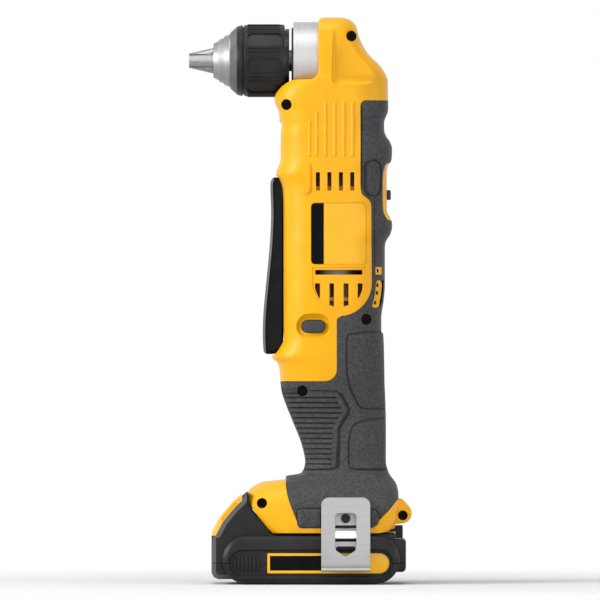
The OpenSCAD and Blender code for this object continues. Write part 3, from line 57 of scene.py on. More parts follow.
# %% Camera
scene = bpy.context.scene
scene.view_settings.view_transform = "Standard"
LENS = 800
DISTANCE = 7.56
bpy.ops.object.camera_add(location=(-0.0198, -DISTANCE, 0.1601), rotation=(math.radians(90), 0, 0))
camera = bpy.context.object
camera.name = "studio_camera"
camera.data.lens = LENS
camera.data.sensor_width = 36
camera.data.clip_end = 60
scene.camera = camera

# %% Shader node helper
def add_node(tree, kind, inputs, **settings):
    """A shader node whose inputs hold a value or are fed by a socket."""
    made = tree.nodes.new("ShaderNode" + kind)
    for key, value in settings.items():
        setattr(made, key, value)
    for key, value in inputs.items():
        if isinstance(value, bpy.types.NodeSocket):
            tree.links.new(value, made.inputs[key])
        else:
            made.inputs[key].default_value = value
    return made


# %% Light and floor
AMBIENT = 0.3
FLOOR_R, FADE_FROM, FADE_TO = 0.7, 0.1, 0.45
world = bpy.data.worlds.new("white_studio")
scene.world = world
world.use_nodes = True
air = world.node_tree
ray = add_node(air, "LightPath", {}).outputs
seen = ray["Is Camera Ray"]
for kind in ("Is Glossy Ray", "Is Transmission Ray"):
    seen = add_node(air, "Math", {0: seen, 1: ray[kind]}, operation="MAXIMUM").outputs[0]
level = add_node(air, "Math", {0: seen, 1: 1 - AMBIENT, 2: AMBIENT}, operation="MULTIPLY_ADD")
backdrop = air.nodes["Background"]
backdrop.inputs["Color"].default_value = (1, 1, 1, 1)
air.links.new(level.outputs[0], backdrop.inputs["Strength"])


def softbox(name, place, aim, size, power):
    """A square area lamp that looks at a point."""
    bpy.ops.object.light_add(type="AREA", location=place)
    lamp = bpy.context.object
    lamp.name = name
    lamp.data.size = size
    lamp.data.energy = power
    lamp.rotation_mode = "QUATERNION"
    lamp.rotation_quaternion = (Vector(aim) - Vector(place)).to_track_quat("-Z", "Y")
    lamp.visible_camera = False


softbox("key_left", (-2.0, -1.1, 0.9), (0, 0, 0.18), 1.0, 46)
softbox("fill_front", (0.4, -2.2, 0.6), (0, 0, 0.16), 1.2, 8)
softbox("fill_right", (1.7, -0.9, 0.5), (0, 0, 0.16), 0.9, 9)
softbox("top_light", (-0.2, -0.5, 1.7), (0, 0, 0.2), 1.0, 10)

bpy.ops.object.select_all(action="DESELECT")
bpy.ops.mesh.primitive_circle_add(vertices=96, radius=FLOOR_R, fill_type="NGON", location=(0, 0, -0.0006))
floor = bpy.context.object
floor.name = "studio_floor"
bpy.ops.object.transform_apply(location=True)
floor_finish = bpy.data.materials.new("pale_floor")
floor_finish.use_nodes = True
tree = floor_finish.node_tree
tree.nodes.remove(tree.nodes["Principled BSDF"])
paper = add_node(tree, "BsdfDiffuse", {"Color": (0.93, 0.93, 0.93, 1)})
clear = add_node(tree, "BsdfTransparent", {})
spot = add_node(tree, "TexCoord", {})
reach = add_node(tree, "VectorMath", {0: spot.outputs["Object"]}, operation="LENGTH")
fade = add_node(tree, "MapRange", {"From Min": FADE_FROM, "From Max": FADE_TO,
                                   "Value": reach.outputs["Value"]}, interpolation_type="SMOOTHSTEP")
blend = add_node(tree, "MixShader", {"Fac": fade.outputs["Result"], 1: paper.outputs[0], 2: clear.outputs[0]})
tree.links.new(blend.outputs[0], tree.nodes["Material Output"].inputs["Surface"])
floor.data.materials.append(floor_finish)

# %% [markdown]
# ## Finishes
# Each finish is one Principled shader whose colour, roughness and bump come from noise in Object
# coordinates, so the grain has a real size in metres and stays put when a piece moves.


# %% Finish helpers
def new_finish(name, roughness=0.5, metallic=0.0, specular=0.5):
    """An empty material with its shader and its Object coordinates."""
    made = bpy.data.materials.new(name)
    made.use_nodes = True
    tree = made.node_tree
    shader = tree.nodes["Principled BSDF"]
    for key, value in (("Roughness", roughness), ("Metallic", metallic), ("Specular IOR Level", specular)):
        shader.inputs[key].default_value = value
    return made, tree, shader, add_node(tree, "TexCoord", {}).outputs["Object"]


def grain(tree, place, scale, detail=3.0, stretch=None):
    """Noise of a given size; stretch makes it into streaks."""
    if stretch:
        place = add_node(tree, "Mapping", {"Scale": stretch, "Vector": place}).outputs["Vector"]
    return add_node(tree, "TexNoise", {"Scale": scale, "Detail": detail, "Vector": place}).outputs["Fac"]


def tint(tree, shader, source, dark, light, low=0.35, high=0.65):
    """Colour between two tints, by a noise."""
    ramp = add_node(tree, "ValToRGB", {"Fac": source})
    for stop, place, colour in zip(ramp.color_ramp.elements, (low, high), (dark, light)):
        stop.position = place
        stop.color = (*colour, 1)
    tree.links.new(ramp.outputs["Color"], shader.inputs["Base Color"])


def sheen_range(tree, shader, source, low, high):
    """Roughness between two values, by a noise."""
    span = add_node(tree, "MapRange", {"From Min": 0.3, "From Max": 0.7, "To Min": low, "To Max": high,
                                       "Value": source})
    tree.links.new(span.outputs["Result"], shader.inputs["Roughness"])


def relief(tree, shader, source, strength, depth):
    """Fine bump of a given depth in metres."""
    bump = add_node(tree, "Bump", {"Strength": strength, "Distance": depth, "Height": source})
    tree.links.new(bump.outputs["Normal"], shader.inputs["Normal"])


def moulded(name, dark, light, rough, grain_size, depth, specular=0.5, cloud=90):
    """Moulded plastic or rubber: cloudy colour, uneven gloss and a fine spark eroded grain."""
    made, tree, shader, place = new_finish(name, specular=specular)
    tint(tree, shader, grain(tree, place, cloud, 2), dark, light)
    sheen_range(tree, shader, grain(tree, place, 240), rough - 0.04, rough + 0.05)
    relief(tree, shader, grain(tree, place, 1 / grain_size, 2), 0.5, depth)
    return made


def metal(name, dark, light, rough, streaks, depth):
    """Worked metal with fine tool marks along one direction."""
    made, tree, shader, place = new_finish(name, metallic=1.0)
    marks = grain(tree, place, 1.0, 3, streaks)
    tint(tree, shader, marks, dark, light, 0.3, 0.7)
    sheen_range(tree, shader, marks, rough - 0.05, rough + 0.07)
    relief(tree, shader, marks, 0.4, depth)
    return made


# %% The finishes of this drill
yellow = moulded("yellow_nylon", (0.9, 0.425, 0.0035), (0.935, 0.455, 0.005), 0.4, 7e-4, 3e-5, 0.28)
rubber = moulded("grey_rubber", (0.05, 0.05, 0.053), (0.082, 0.082, 0.086), 0.55, 6e-4, 1.6e-4, 0.1, 700)
# Glossier grey for the pack's slanted front edges; its lighter colour is a painted highlight.
pack_bezel_highlight = moulded("pack_bezel_highlight", (0.06, 0.06, 0.064), (0.08, 0.08, 0.085), 0.38, 6e-4, 4e-5, 0.3)
pack_black = moulded("pack_nylon", (0.01, 0.01, 0.011), (0.016, 0.016, 0.0175), 0.4, 6e-4, 5e-5, 0.2)
satin_black = moulded("satin_black", (0.002, 0.002, 0.0023), (0.004, 0.004, 0.0044), 0.25, 5e-4, 3e-5, 0.1)
# Lighter grey for the rounded front rim of the trigger: a painted highlight.
paddle_rim_highlight = moulded("paddle_rim_highlight", (0.095, 0.095, 0.1), (0.125, 0.125, 0.13), 0.35, 5e-4, 3e-5, 0.3)
chuck_black = moulded("chuck_nylon", (0.011, 0.011, 0.012), (0.018, 0.018, 0.019), 0.4, 5e-4, 4e-5, 0.2)
rim_grey = moulded("light_grey_chamfer", (0.1, 0.1, 0.104), (0.15, 0.15, 0.155), 0.5, 4e-4, 6e-5, 0.3)
slide_grey = moulded("slide_nylon", (0.04, 0.04, 0.043), (0.055, 0.055, 0.059), 0.44, 6e-4, 4e-5, 0.2)
inner_black = moulded("inner_nylon", (0.01, 0.01, 0.011), (0.018, 0.018, 0.019), 0.45, 8e-4, 4e-5, 0.2)
inner_grey = moulded("motor_nylon", (0.4, 0.37, 0.35), (0.46, 0.43, 0.41), 0.5, 8e-4, 4e-5, 0.3)
label_yellow = moulded("label_yellow", (0.93, 0.465, 0.009), (0.95, 0.495, 0.012), 0.3, 0.002, 1e-5, 0.3)
label_black = moulded("label_black", (0.0015, 0.0015, 0.0017),
                      (0.003, 0.003, 0.0033), 0.28, 0.002, 1e-5, 0.06)
alloy = metal("turned_alloy", (0.4, 0.4, 0.405), (0.5, 0.5, 0.505), 0.5, (2600, 60, 60), 3e-5)
chrome = metal("turned_steel", (0.27, 0.27, 0.275), (0.35, 0.35, 0.355), 0.46, (2200, 40, 40), 2e-5)
jaw_steel = metal("ground_steel", (0.26, 0.26, 0.265), (0.34, 0.34, 0.345), 0.42, (90, 1800, 1800), 2e-5)
hook_steel = metal("brushed_steel", (0.34, 0.34, 0.345), (0.41, 0.41, 0.415), 0.44, (60, 400, 3000), 2e-5)
# Lighter steel for the hook's jog and lower bend: a painted highlight.
painted_highlight_steel = metal("painted_bend_highlight", (0.72, 0.72, 0.73), (0.82, 0.82, 0.83), 0.3, (60, 400, 3000), 1e-5)
gear_steel = metal("hobbed_steel", (0.36, 0.36, 0.37), (0.5, 0.5, 0.51), 0.33, (700, 700, 700), 2e-5)
dark_steel = metal("blackened_steel", (0.012, 0.012, 0.013),
                   (0.034, 0.034, 0.036), 0.34, (900, 900, 900), 3e-5)
screw_black = metal("phosphate_steel", (0.003, 0.003, 0.0032),
                    (0.008, 0.008, 0.0084), 0.4, (900, 900, 900), 3e-5)
plated = metal("zinc_plate", (0.17, 0.172, 0.175), (0.25, 0.25, 0.25), 0.45, (60, 60, 900), 2e-5)
brass = metal("stamped_brass", (0.62, 0.43, 0.15), (0.74, 0.54, 0.22), 0.3, (600, 600, 900), 2e-5)
copper = metal("wound_copper", (0.55, 0.21, 0.08), (0.7, 0.31, 0.13), 0.35, (500, 500, 2600), 8e-5)
ferrite = moulded("ferrite", (0.035, 0.035, 0.037), (0.06, 0.06, 0.062), 0.6, 9e-4, 6e-5)
red_wire = moulded("wire_sheath", (0.3, 0.014, 0.012), (0.38, 0.022, 0.018), 0.45, 0.001, 2e-5)
cell_green = moulded("cell_sleeve", (0.035, 0.17, 0.1), (0.05, 0.22, 0.13), 0.3, 0.002, 2e-5)
lens, lens_tree, lens_shader, lens_place = new_finish("clear_lens", 0.08, 0.0, 0.5)
lens_shader.inputs["Base Color"].default_value = (0.93, 0.95, 0.97, 1)
lens_shader.inputs["Transmission Weight"].default_value = 0.6
relief(lens_tree, lens_shader, grain(lens_tree, lens_place, 900, 2), 0.3, 4e-5)

CAD_FINISHES = (
    (gear_steel, "spindle_bearing pinion_bearing bevel_gear bevel_pinion planet_carrier planet_gear_1 "
                 "planet_gear_2 planet_gear_3 ring_gear sun_gear armature_core chuck_nut"),
    (chrome, "spindle motor_shaft chuck_body trigger_pin"), (jaw_steel, "jaw_1 jaw_2 jaw_3"),
    (dark_steel, "chuck_rear_collar belt_hook_screw"), (screw_black, "housing_screws battery_screws"),
    (brass, "spindle_bush motor_bearing terminal_blades hook_insert battery_bus_bars"),
    (inner_black, "dust_seal switch_plunger switch_module terminal_block"),
    (inner_grey, "cooling_fan motor_end_cap"), (ferrite, "motor_magnets carbon_brushes"),
    (copper, "armature_windings commutator"), (alloy, "gear_case"), (plated, "motor_can"),
    (lens, "led_lens"), (red_wire, "wire_harness"), (cell_green, "battery_cells"),
)


def dress(piece, *finishes):
    """Give a piece its finishes, the first one on every face."""
    piece.data.materials.clear()
    for made in finishes:
        piece.data.materials.append(made)


def paint(piece, base, accent, picked):
    """Give a piece two finishes, the accent on the picked faces."""
    dress(piece, base, accent)
    for face in piece.data.polygons:
        face.material_index = 1 if picked(face) else 0


for made, names in CAD_FINISHES:
    for name in names.split():
        dress(nodes[name], made)

# %% [markdown]
# ## Ways to make a piece
# Three moves make nearly everything here. A loft is a circle that is extruded ring by ring, after
# which every ring is moved to its section. A slab is a loft of two rings. A carve takes one closed
# piece from another with the Boolean modifier, and a weld joins two.


# %% Modelling helpers
def open_mesh():
    """Enter edit mode with everything selected."""
    bpy.ops.object.mode_set(mode="EDIT")
    bpy.ops.mesh.select_all(action="SELECT")


def close_mesh():
    """Go back to object mode."""
    bpy.ops.object.mode_set(mode="OBJECT")


def start():
    """Leave edit mode with nothing selected, so that the next operator meets only its own piece."""
    if bpy.context.mode != "OBJECT":
        close_mesh()
    bpy.ops.object.select_all(action="DESELECT")


def activate(piece):
    """Make a piece the only selected one."""
    start()
    bpy.context.view_layer.objects.active = piece
    piece.select_set(True)


def modify(piece, kind, **settings):
    """Add a modifier and apply it at once."""
    activate(piece)
    change = piece.modifiers.new(kind.lower(), kind)
    for key, value in settings.items():
        setattr(change, key, value)
    bpy.ops.object.modifier_apply(modifier=change.name)
    return piece


def loft(rings, name="tool"):
    """A closed tube through rings of points in millimetres, made by extruding a circle."""
    count = len(rings[0])
    start()
    bpy.ops.mesh.primitive_circle_add(vertices=count, radius=1, fill_type="NGON", location=(0, 0, 0))
    piece = bpy.context.object
    piece.name = name
    open_mesh()
    for _ in rings[1:]:
        bpy.ops.mesh.extrude_region_move(TRANSFORM_OT_translate={"value": (0, 0, 1)})
    close_mesh()
    for v in piece.data.vertices:
        turn = math.atan2(v.co.y, v.co.x) / math.tau - 0.25
        v.co = Vector(rings[round(v.co.z)][round(turn * count) % count]) * MM
    open_mesh()
    bpy.ops.mesh.normals_make_consistent(inside=False)
    close_mesh()
    return piece


def slab(outline, y0, y1, name="tool"):
    """A side view outline of (x, z) points, drawn out across the tool."""
    return loft([[(x, y, z) for x, z in outline] for y in (y0, y1)], name)


def join(pieces):
    """Join pieces that don't touch into one."""
    start()
    for piece in pieces:
        piece.select_set(True)
    bpy.context.view_layer.objects.active = pieces[0]
    if len(pieces) > 1:
        bpy.ops.object.join()
    return pieces[0]


def slabs(outlines, y0, y1):
    """Several slabs as one tool."""
    return join([slab(outline, y0, y1) for outline in outlines])


def box_tool(x0, x1, half, z0, z1):
    """A box that lies evenly across the middle plane."""
    return slab([(x0, z0), (x1, z0), (x1, z1), (x0, z1)], -half, half)


def carve(piece, tool, how="DIFFERENCE"):
    """Boolean with a tool that is used up."""
    modify(piece, "BOOLEAN", operation=how, solver="MANIFOLD", object=tool)
    bpy.data.objects.remove(tool)
    return piece


def weld(piece, tool):
    """Join a closed tool to a piece."""
    return carve(piece, tool, "UNION")


def copy_of(piece):
    """A second piece of the same form."""
    activate(piece)
    bpy.ops.object.duplicate()
    return bpy.context.object


def soft_edges(piece, width, segments=3, angle=40):
    """Round the edges that are sharper than an angle."""
    return modify(piece, "BEVEL", width=width * MM, segments=segments, limit_method="ANGLE",
                  angle_limit=math.radians(angle), use_clamp_overlap=True, harden_normals=False)


def settle(piece, body, node, angle=32):
    """Shade a piece smooth between sharp edges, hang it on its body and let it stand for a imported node."""
    activate(piece)
    bpy.ops.object.shade_smooth_by_angle(angle=math.radians(angle))
    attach(piece, body)
    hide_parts(node)


# %% Outline helpers
def arc(x, z, r, a0, a1, steps=10):
    """Points on an arc, angles in degrees."""
    turns = [math.radians(a0 + (a1 - a0) * i / steps) for i in range(steps + 1)]
    return [(x + r * math.cos(a), z + r * math.sin(a)) for a in turns]


def round_box(x0, x1, z0, z1, r, steps=6):
    """A rectangle with round corners."""
    return (arc(x1 - r, z1 - r, r, 0, 90, steps) + arc(x0 + r, z1 - r, r, 90, 180, steps)
            + arc(x0 + r, z0 + r, r, 180, 270, steps) + arc(x1 - r, z0 + r, r, 270, 360, steps))


def long_round(x0, x1, z0, z1, steps=12):
    """A stadium: a box whose short sides are half circles."""
    r = min(x1 - x0, z1 - z0) / 2 - 0.0005
    return round_box(x0, x1, z0, z1, r, steps)


def disc(x, z, r, steps=40):
    """A full circle of points."""
    return arc(x, z, r, 0, 360 - 360 / steps, steps - 1)


def circle(r, count):
    """Points round a centre, as offsets in two directions."""
    turns = [math.tau * i / count for i in range(count)]
    return [(r * math.cos(a), r * math.sin(a)) for a in turns]


def soften(points, rounds=2):
    """Cut the corners of an outline until it flows."""
    for _ in range(rounds):
        points = [(p[0] * k + q[0] * (1 - k), p[1] * k + q[1] * (1 - k))
                  for p, q in zip(points, points[1:] + points[:1]) for k in (0.75, 0.25)]
    return points


def grow(points, amount):
    """Move an outline that runs anticlockwise outwards."""
    moved = []
    for i, (x, z) in enumerate(points):
        back, ahead = points[i - 1], points[(i + 1) % len(points)]
        dx, dz = ahead[0] - back[0], ahead[1] - back[1]
        size = math.hypot(dx, dz) or 1
        moved.append((x + amount * dz / size, z - amount * dx / size))
    area = sum(p[0] * q[1] - q[0] * p[1] for p, q in zip(points, points[1:] + points[:1]))
    return moved if area > 0 else grow(points[::-1], amount)


def flared(outline, steps, side):
    """A tool from an outline that grows by steps as it leaves the middle plane."""
    return loft([[(x, side * y, z) for x, z in grow(outline, wide)] for y, wide in steps])


def wrap(points):
    """The rubber band outline round a set of points."""
    ordered = sorted(set(points))

    def half(run):
        kept = []
        for p in run:
            while len(kept) > 1 and ((kept[-1][0] - kept[-2][0]) * (p[1] - kept[-2][1])
                                     <= (kept[-1][1] - kept[-2][1]) * (p[0] - kept[-2][0])):
                kept.pop()
            kept.append(p)
        return kept[:-1]
    return half(ordered) + half(ordered[::-1])


# %% [markdown]
# ## The body form
# The tool body is one flowing form: its front edge, back edge and half width change along the
# height, and each level is a rounded square. The tables below are the same stations as in the
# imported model. Between them runs a curve that never overshoots.

# %% Body tables, in millimetres
Z_FOOT, Z_TOP, Z_AXIS = 28.5, 320.0, 295.8
FRONT_EDGE = [
    (28.5, -36.5), (29.7, -37.8), (35.3, -42.5), (41, -47.3), (44, -48.7), (51.5, -49.3),
    (54.9, -45.7), (56.9, -42.1), (58.5, -28.3), (60.3, -27.5), (61.1, -22.4), (61.8, -19.4),
    (63.8, -17.7), (68.5, -16.8),
    (77.3, -18.5), (93.2, -24.6), (102.3, -28.2), (109.1, -30.3), (122.7, -31.8), (124.9, -32.9),
    (127.1, -35.5), (128.5, -35.6), (130.6, -33.5), (134.1, -31.2), (138.1, -29.5), (214.7, -29.5),
    (222.7, -29.9), (228.1, -31.5), (231.6, -33.5), (233.9, -32.9), (236.3, -31.8), (240.7, -30.8),
    (254.2, -30.8), (258.9, -30.2), (263.2, -31.3), (267.8, -32.1), (272.3, -34.2), (274.9, -34.4),
    (279.2, -32.9), (281.9, -31), (284.9, -26.4), (286.9, -18.5), (317, -17), (320, -13.5),
]
BACK_EDGE = [
    (28.5, 30.4), (29.7, 31.2), (35.5, 34), (42.5, 35.6), (50.1, 35.9), (54.5, 35.1), (56.9, 34.1),
    (59.1, 32.4), (61.4, 30.8), (63.7, 29.8), (68.5, 28.8), (89.5, 28.8), (120.1, 27.7),
    (140.1, 26.8), (142.1, 26.2), (150.1, 26.2), (159.1, 27.4), (168.1, 28.2), (190.7, 28.2),
    (193.3, 28.8), (197.5, 31.3), (202.1, 32.4), (206.5, 31.7), (208.8, 30), (211.1, 29.5),
    (232.7, 29.4), (236.1, 30.1), (238.3, 31.6), (240.7, 32.1), (245.7, 32.3), (249.7, 31.1),
    (251.9, 29.5), (254.2, 28.3), (256.7, 27.8), (260.9, 27.8), (265.5, 29.4), (267.8, 30.1),
    (283.7, 30.1), (288.2, 28.6), (292.7, 25.7), (299.6, 18.9), (308.6, 13.9), (315.4, 11.9),
    (317.7, 10.1), (319.6, 7.1), (320, 5.1),
]
HALF_EDGE = [
    (28.5, 34.8), (32.5, 35.5), (44.5, 35.1), (50.5, 32.9), (55.5, 28.5), (59.5, 23.4),
    (63.5, 20.4), (68.5, 19.2), (89.5, 19.4), (104.1, 21.5), (118.1, 24.8), (139.1, 27.2),
    (164.1, 28.2), (220.7, 28.2), (250.7, 27.6), (272.9, 27.2), (296.9, 26.6), (312, 25.1),
    (317, 21.6), (319, 17.6), (320, 14.1),
]
SQUARENESS = [
    (28.5, 9), (42.5, 8), (50.5, 4.6), (59.5, 3), (68.5, 2.5), (104.1, 2.6), (139.1, 3.2), (272.9, 3.4),
    (320, 3.2),
]
LIP_LEVELS = [57.6, 58.2, 58.7, 59.3, 59.8, 60.3, 60.6, 60.9, 61.2, 61.5, 61.9, 62.3]
BODY_LEVELS = sorted([Z_FOOT + 1.79 * i for i in range(157)] + LIP_LEVELS
                     + [309 + 11 * math.sin(math.pi / 32 * i) for i in range(1, 17)])


def along(table, z):
    """The value of a table at a height, on a curve without overshoot."""
    i = next((k for k in range(len(table) - 2) if z <= table[k + 1][0]), len(table) - 2)

    def secant(k):
        return (table[k + 1][1] - table[k][1]) / (table[k + 1][0] - table[k][0])

    def slope(k):
        if k in (0, len(table) - 1):
            return secant(min(k, len(table) - 2))
        a, b = secant(k - 1), secant(k)
        return 0 if a * b <= 0 else 2 * a * b / (a + b)
    (z0, p), (z1, q) = table[i], table[i + 1]
    h = z1 - z0
    u = min(1, max(0, (z - z0) / h))
    return ((2 * u ** 3 - 3 * u * u + 1) * p + (u ** 3 - 2 * u * u + u) * slope(i) * h
            + (3 * u * u - 2 * u ** 3) * q + (u ** 3 - u * u) * slope(i + 1) * h)


def section(z, inset, turns):
    """Points of a level at these turns, from the front over the left side."""
    reach = [min(Z_TOP, max(Z_FOOT, z + k * inset)) for k in (-1, -0.5, 0, 0.5, 1)] if inset else [z]
    tight, loose = (max, min) if inset >= 0 else (min, max)
    f = tight(along(FRONT_EDGE, s) for s in reach) + inset
    b = loose(along(BACK_EDGE, s) for s in reach) - inset
    w = loose(along(HALF_EDGE, s) for s in reach) - inset
    p = 2 / along(SQUARENESS, z)
    points = []
    for a in turns:
        c, s = math.cos(a), math.sin(a)
        points.append(((f + b) / 2 - (b - f) / 2 * math.copysign(abs(c) ** p, c),
                       -w * math.copysign(abs(s) ** p, s)))
    return points


def even(points, count, trim=0.0):
    """Spread points evenly along a line, less a bit at both ends."""
    run = [0.0]
    for p, q in zip(points, points[1:]):
        run.append(run[-1] + math.dist(p, q))
    spread, k = [], 0
    for i in range(count):
        d = trim + (run[-1] - 2 * trim) * i / (count - 1)
        while k < len(run) - 2 and run[k + 1] < d:
            k += 1
        u = (d - run[k]) / ((run[k + 1] - run[k]) or 1)
        spread.append(tuple(a + (b - a) * u for a, b in zip(points[k], points[k + 1])))
    return spread


HALF_TURN = [math.pi * i / 160 for i in range(161)]
SEAM, SEAM_EDGE = 0.05, 0.3
FAR = 60
SIDES = ((-1, "left"), (1, "right"))


def half_ring(z, inset, side):
    """One half of a level, closed by the parting plane, with a small chamfer at the seam."""
    line = [(x, -side * y) for x, y in even(section(z, inset, HALF_TURN), 70, SEAM_EDGE)]
    ends = [(line[0][0] + SEAM_EDGE, side * SEAM), *line, (line[-1][0] - SEAM_EDGE, side * SEAM)]
    return [(x, y, z) for x, y in ends]


def full_ring(z, inset):
    """A whole level, for the tools that shape both halves."""
    left = even(section(z, inset, HALF_TURN), 55)
    return [(x, y, z) for x, y in left + [(x, -y) for x, y in left[-2:0:-1]]]


def side_y(x, z):
    """Half width of the body at a place of the side view."""
    f, b, e = along(FRONT_EDGE, z), along(BACK_EDGE, z), along(SQUARENESS, z)
    u = min(0.98, abs(2 * x - f - b) / (b - f))
    return along(HALF_EDGE, z) * (1 - u ** e) ** (1 / e)


moulds = {}


def mould(inset):
    """A copy of the whole body form, smaller by the inset."""
    if inset not in moulds:
        moulds[inset] = loft([full_ring(z, inset) for z in BODY_LEVELS], "mould")
    return copy_of(moulds[inset])


def half_body(inset, side, name="tool"):
    """One solid half of the body form."""
    return loft([half_ring(z, inset, side) for z in BODY_LEVELS], name)


def sink(piece, outlines, depth, side):
    """Press side view outlines into the surface, to an even depth."""
    carve(piece, carve(slabs(outlines, side * 7, side * FAR), mould(depth)))


def lift(piece, outlines, height, side):
    """Raise side view outlines from the surface by an even height."""
    weld(piece, carve(slabs(outlines, side * 9, side * FAR), mould(-height), "INTERSECT"))


def lift_twice(piece, outlines, low, high, inset, side):
    """Raise outlines in two steps, the upper one smaller by an inset."""
    lift(piece, outlines, low, side)
    lift(piece, [grow(outline, -inset) for outline in outlines], high, side)


def trench(piece, outlines, width, depth, side):
    """Press a narrow ring round side view outlines."""
    ring = slabs([grow(outline, width) for outline in outlines], side * 7, side * FAR)
    carve(ring, slabs(outlines, side * 5, side * 62))
    carve(piece, carve(ring, mould(depth)))


# %% [markdown]
# ## Outlines on the side of the body
# Soft grey rubber is moulded over the yellow shell. Its edge is drawn once and used twice, to cut
# the shell and to keep the rubber. The other outlines are vents, pads, ribs and screw holes.

# %% Side view outlines
COVER = (
    [(70, 272.9)] + arc(17.5, 269.9, 3, 90, 180) + [(14.5, 246), (14.5, 224)]
    + soften([(14.5, 222.5), (15.2, 219.9), (17.6, 218.2), (19.8, 216.3), (20.8, 213.4)], 1)[1:-2]
    + arc(2.1, 169.7, 18.8, 0, -86, 24) + arc(3.0, 148.4, 1.9, 100, 180, 6) + [(1.1, 134)]
    + arc(-5.7, 120.9, 6.8, 0, -90) + [(-30, 114.1), (-70, 114.1), (-70, 59.9), (-27.8, 59.9)]
    + [(-27.7, 55), (-26.9, 50), (-25.4, 45), (-23.4, 40), (-21.4, 35)]
    + arc(-18.4, 34.3, 3, 190, 270, 6) + [(0, 31.3)] + arc(19, 36.5, 5.2, 270, 315, 6)
    + [(26, 37), (30.4, 41.4), (33.6, 45.5), (37, 49), (70, 49)]
)
THUMB_WINDOW = soften([(26.9, 212), (26.9, 231), (28.2, 235.4), (30.4, 238.6), (60, 240), (60, 203.6),
                       (30.6, 204.4), (28.2, 207.6)], 2)
REAR_WINDOWS = [round_box(22.9, 26.5, 174.4, 178.8, 0.6),
                soften([(23.2, 171.2), (22.8, 164), (21.5, 158.5), (20.7, 155.8), (24.7, 155.8),
                        (25.2, 158.5), (26.3, 165), (26.5, 171.2)], 1)]
WINDOW_SHADE = [(26.6, 171.3), (26.4, 165), (25.3, 158.5), (24.9, 156.6), (25.7, 156.6), (26.3, 158.5),
                (27.3, 165), (27.5, 171.3)]
PEEP_HOLES = [long_round(x - 0.7, x + 0.7, z - 1.1, z + 1.1, 6) for x, z in
              ((23.9, 176.7), (23.9, 168.5), (23.7, 164.1), (22.6, 158.6))]
LABEL = round_box(-13.7, 17.7, 180.1, 215.1, 2.4)
GRILLE = [(-12.9, 178.6), (-12.9, 170)] + arc(2.1, 170, 15, 180, 360, 28) + [(17.1, 178.6)]
VENT_Z = 227.1
TOP_VENTS = [round_box(x - 1.15, x + 1.15, VENT_Z - 5.2, VENT_Z + 5.2, 0.35, 3)
             for x in (-9.7, -3.2, 3.3, 9.7)]
LONG_VENT = round_box(-11.2, 15.4, 174.4, 177.1, 0.3, 3)
LOW_VENTS = [
    [(-8.5, 169.5), (-11.4, 169.5), (-11.3, 166.6), (-10.5, 164.2), (-9.5, 162.0), (-8.5, 160.7)],
    [(-0.6, 169.5), (-3.2, 169.5), (-3.2, 157.2), (-0.6, 156.4)],
    [(7.6, 169.5), (4.8, 169.5), (4.8, 156.4), (7.6, 157.2)],
    [(15.5, 169.5), (12.8, 169.5), (12.8, 160.7), (13.8, 162.0), (14.8, 164.2), (15.5, 166.6)],
]
SIDE_RIBS = [(-14.5, 240.8, 261.6), (-10.4, 241.2, 266.8), (-5.4, 241.2, 272.4), (-0.2, 241.2, 272.4),
             (5.0, 241.2, 272.4), (10.0, 241.2, 272.4)]
SIDE_PAD = round_box(-19.9, -13.5, 219.8, 238.1, 2.8)
RIB_STEPS = ((1.15, -0.4), (1.05, -0.05), (0.75, 0.25), (0.4, 0.45), (0.15, 0.5))
HEAD_FACET = [(60, 283), (60, 330), (-0.6, 330), (-0.6, 285.5)] + arc(1.9, 285.5, 2.5, 180, 270)
FACET_STEPS = ((24.4, -0.4), (24.6, 0.1), (25.4, 0.8), (26.6, 1.4), (28, 1.7), (FAR, 2.2))
SCREWS = ((-27.6, 270.5), (9.4, 309.4), (17.6, 149.1), (-18.4, 108.8), (-41.3, 45.4), (38.4, 38.2))
BUTTON = (-12.2, 145.2)
DISH_STEPS = ((3.0, 7.0, 3.8), (2.9, 7.6, 4.4), (2.4, 8.4, 5.4), (1.4, 9.2, 6.5), (0.1, 9.75, 7.2),
              (-2, 10.9, 8.3))
PIVOT = (-28.3, 225.0)
TRIGGER = [(-34.4, 230.1), (-36.4, 227.9), (-36.7, 224), (-36, 209), (-36.9, 190.7), (-38.7, 172.5),
           (-40.5, 154.4), (-41, 143.1), (-40.7, 132.1), (-40, 130), (-38, 129.3), (-33, 129.7),
           (-31, 132.1), (-28.7, 136.1), (-28.7, 212.7), (-26.7, 219.7), (-24.9, 223.7),
           (-25.3, 227.1), (-27.7, 228.3)]


def button_outline(half_x, half_z, steps=12):
    """A stadium round the middle of the direction button."""
    x, z = BUTTON
    return long_round(x - half_x, x + half_x, z - half_z, z + half_z, steps)


def swung(points, degrees):
    """An outline turned about the trigger pin."""
    c, s = math.cos(math.radians(degrees)), math.sin(math.radians(degrees))
    return [(PIVOT[0] + (x - PIVOT[0]) * c - (z - PIVOT[1]) * s,
             PIVOT[1] + (x - PIVOT[0]) * s + (z - PIVOT[1]) * c) for x, z in points]


PADDLE_ROOM = 10.9
SWING = grow(wrap(TRIGGER + swung(TRIGGER, 5)), 0.5)
EAR = wrap(disc(37.8, 39.4, 5.7) + disc(36.4, 43.5, 4) + disc(28, 36.5, 4))
SHOULDER = ([(-90, 284.8)] + arc(-14.5, 289.8, 5, -90, 0) + arc(-6.3, 316.8, 3.2, 180, 90)
            + [(-6.3, 340), (-90, 340)])
FOOT_CORNER = [(24, 28.4), (27, 28.9), (30.5, 29.8), (33, 30.9), (34.6, 32.2), (34.6, 20), (24, 20)]
FOOT_TAB = [(29, 30.3), (33.2, 30.6), (33.9, 31.3), (34.1, 32.4), (34.1, 37), (29, 37)]


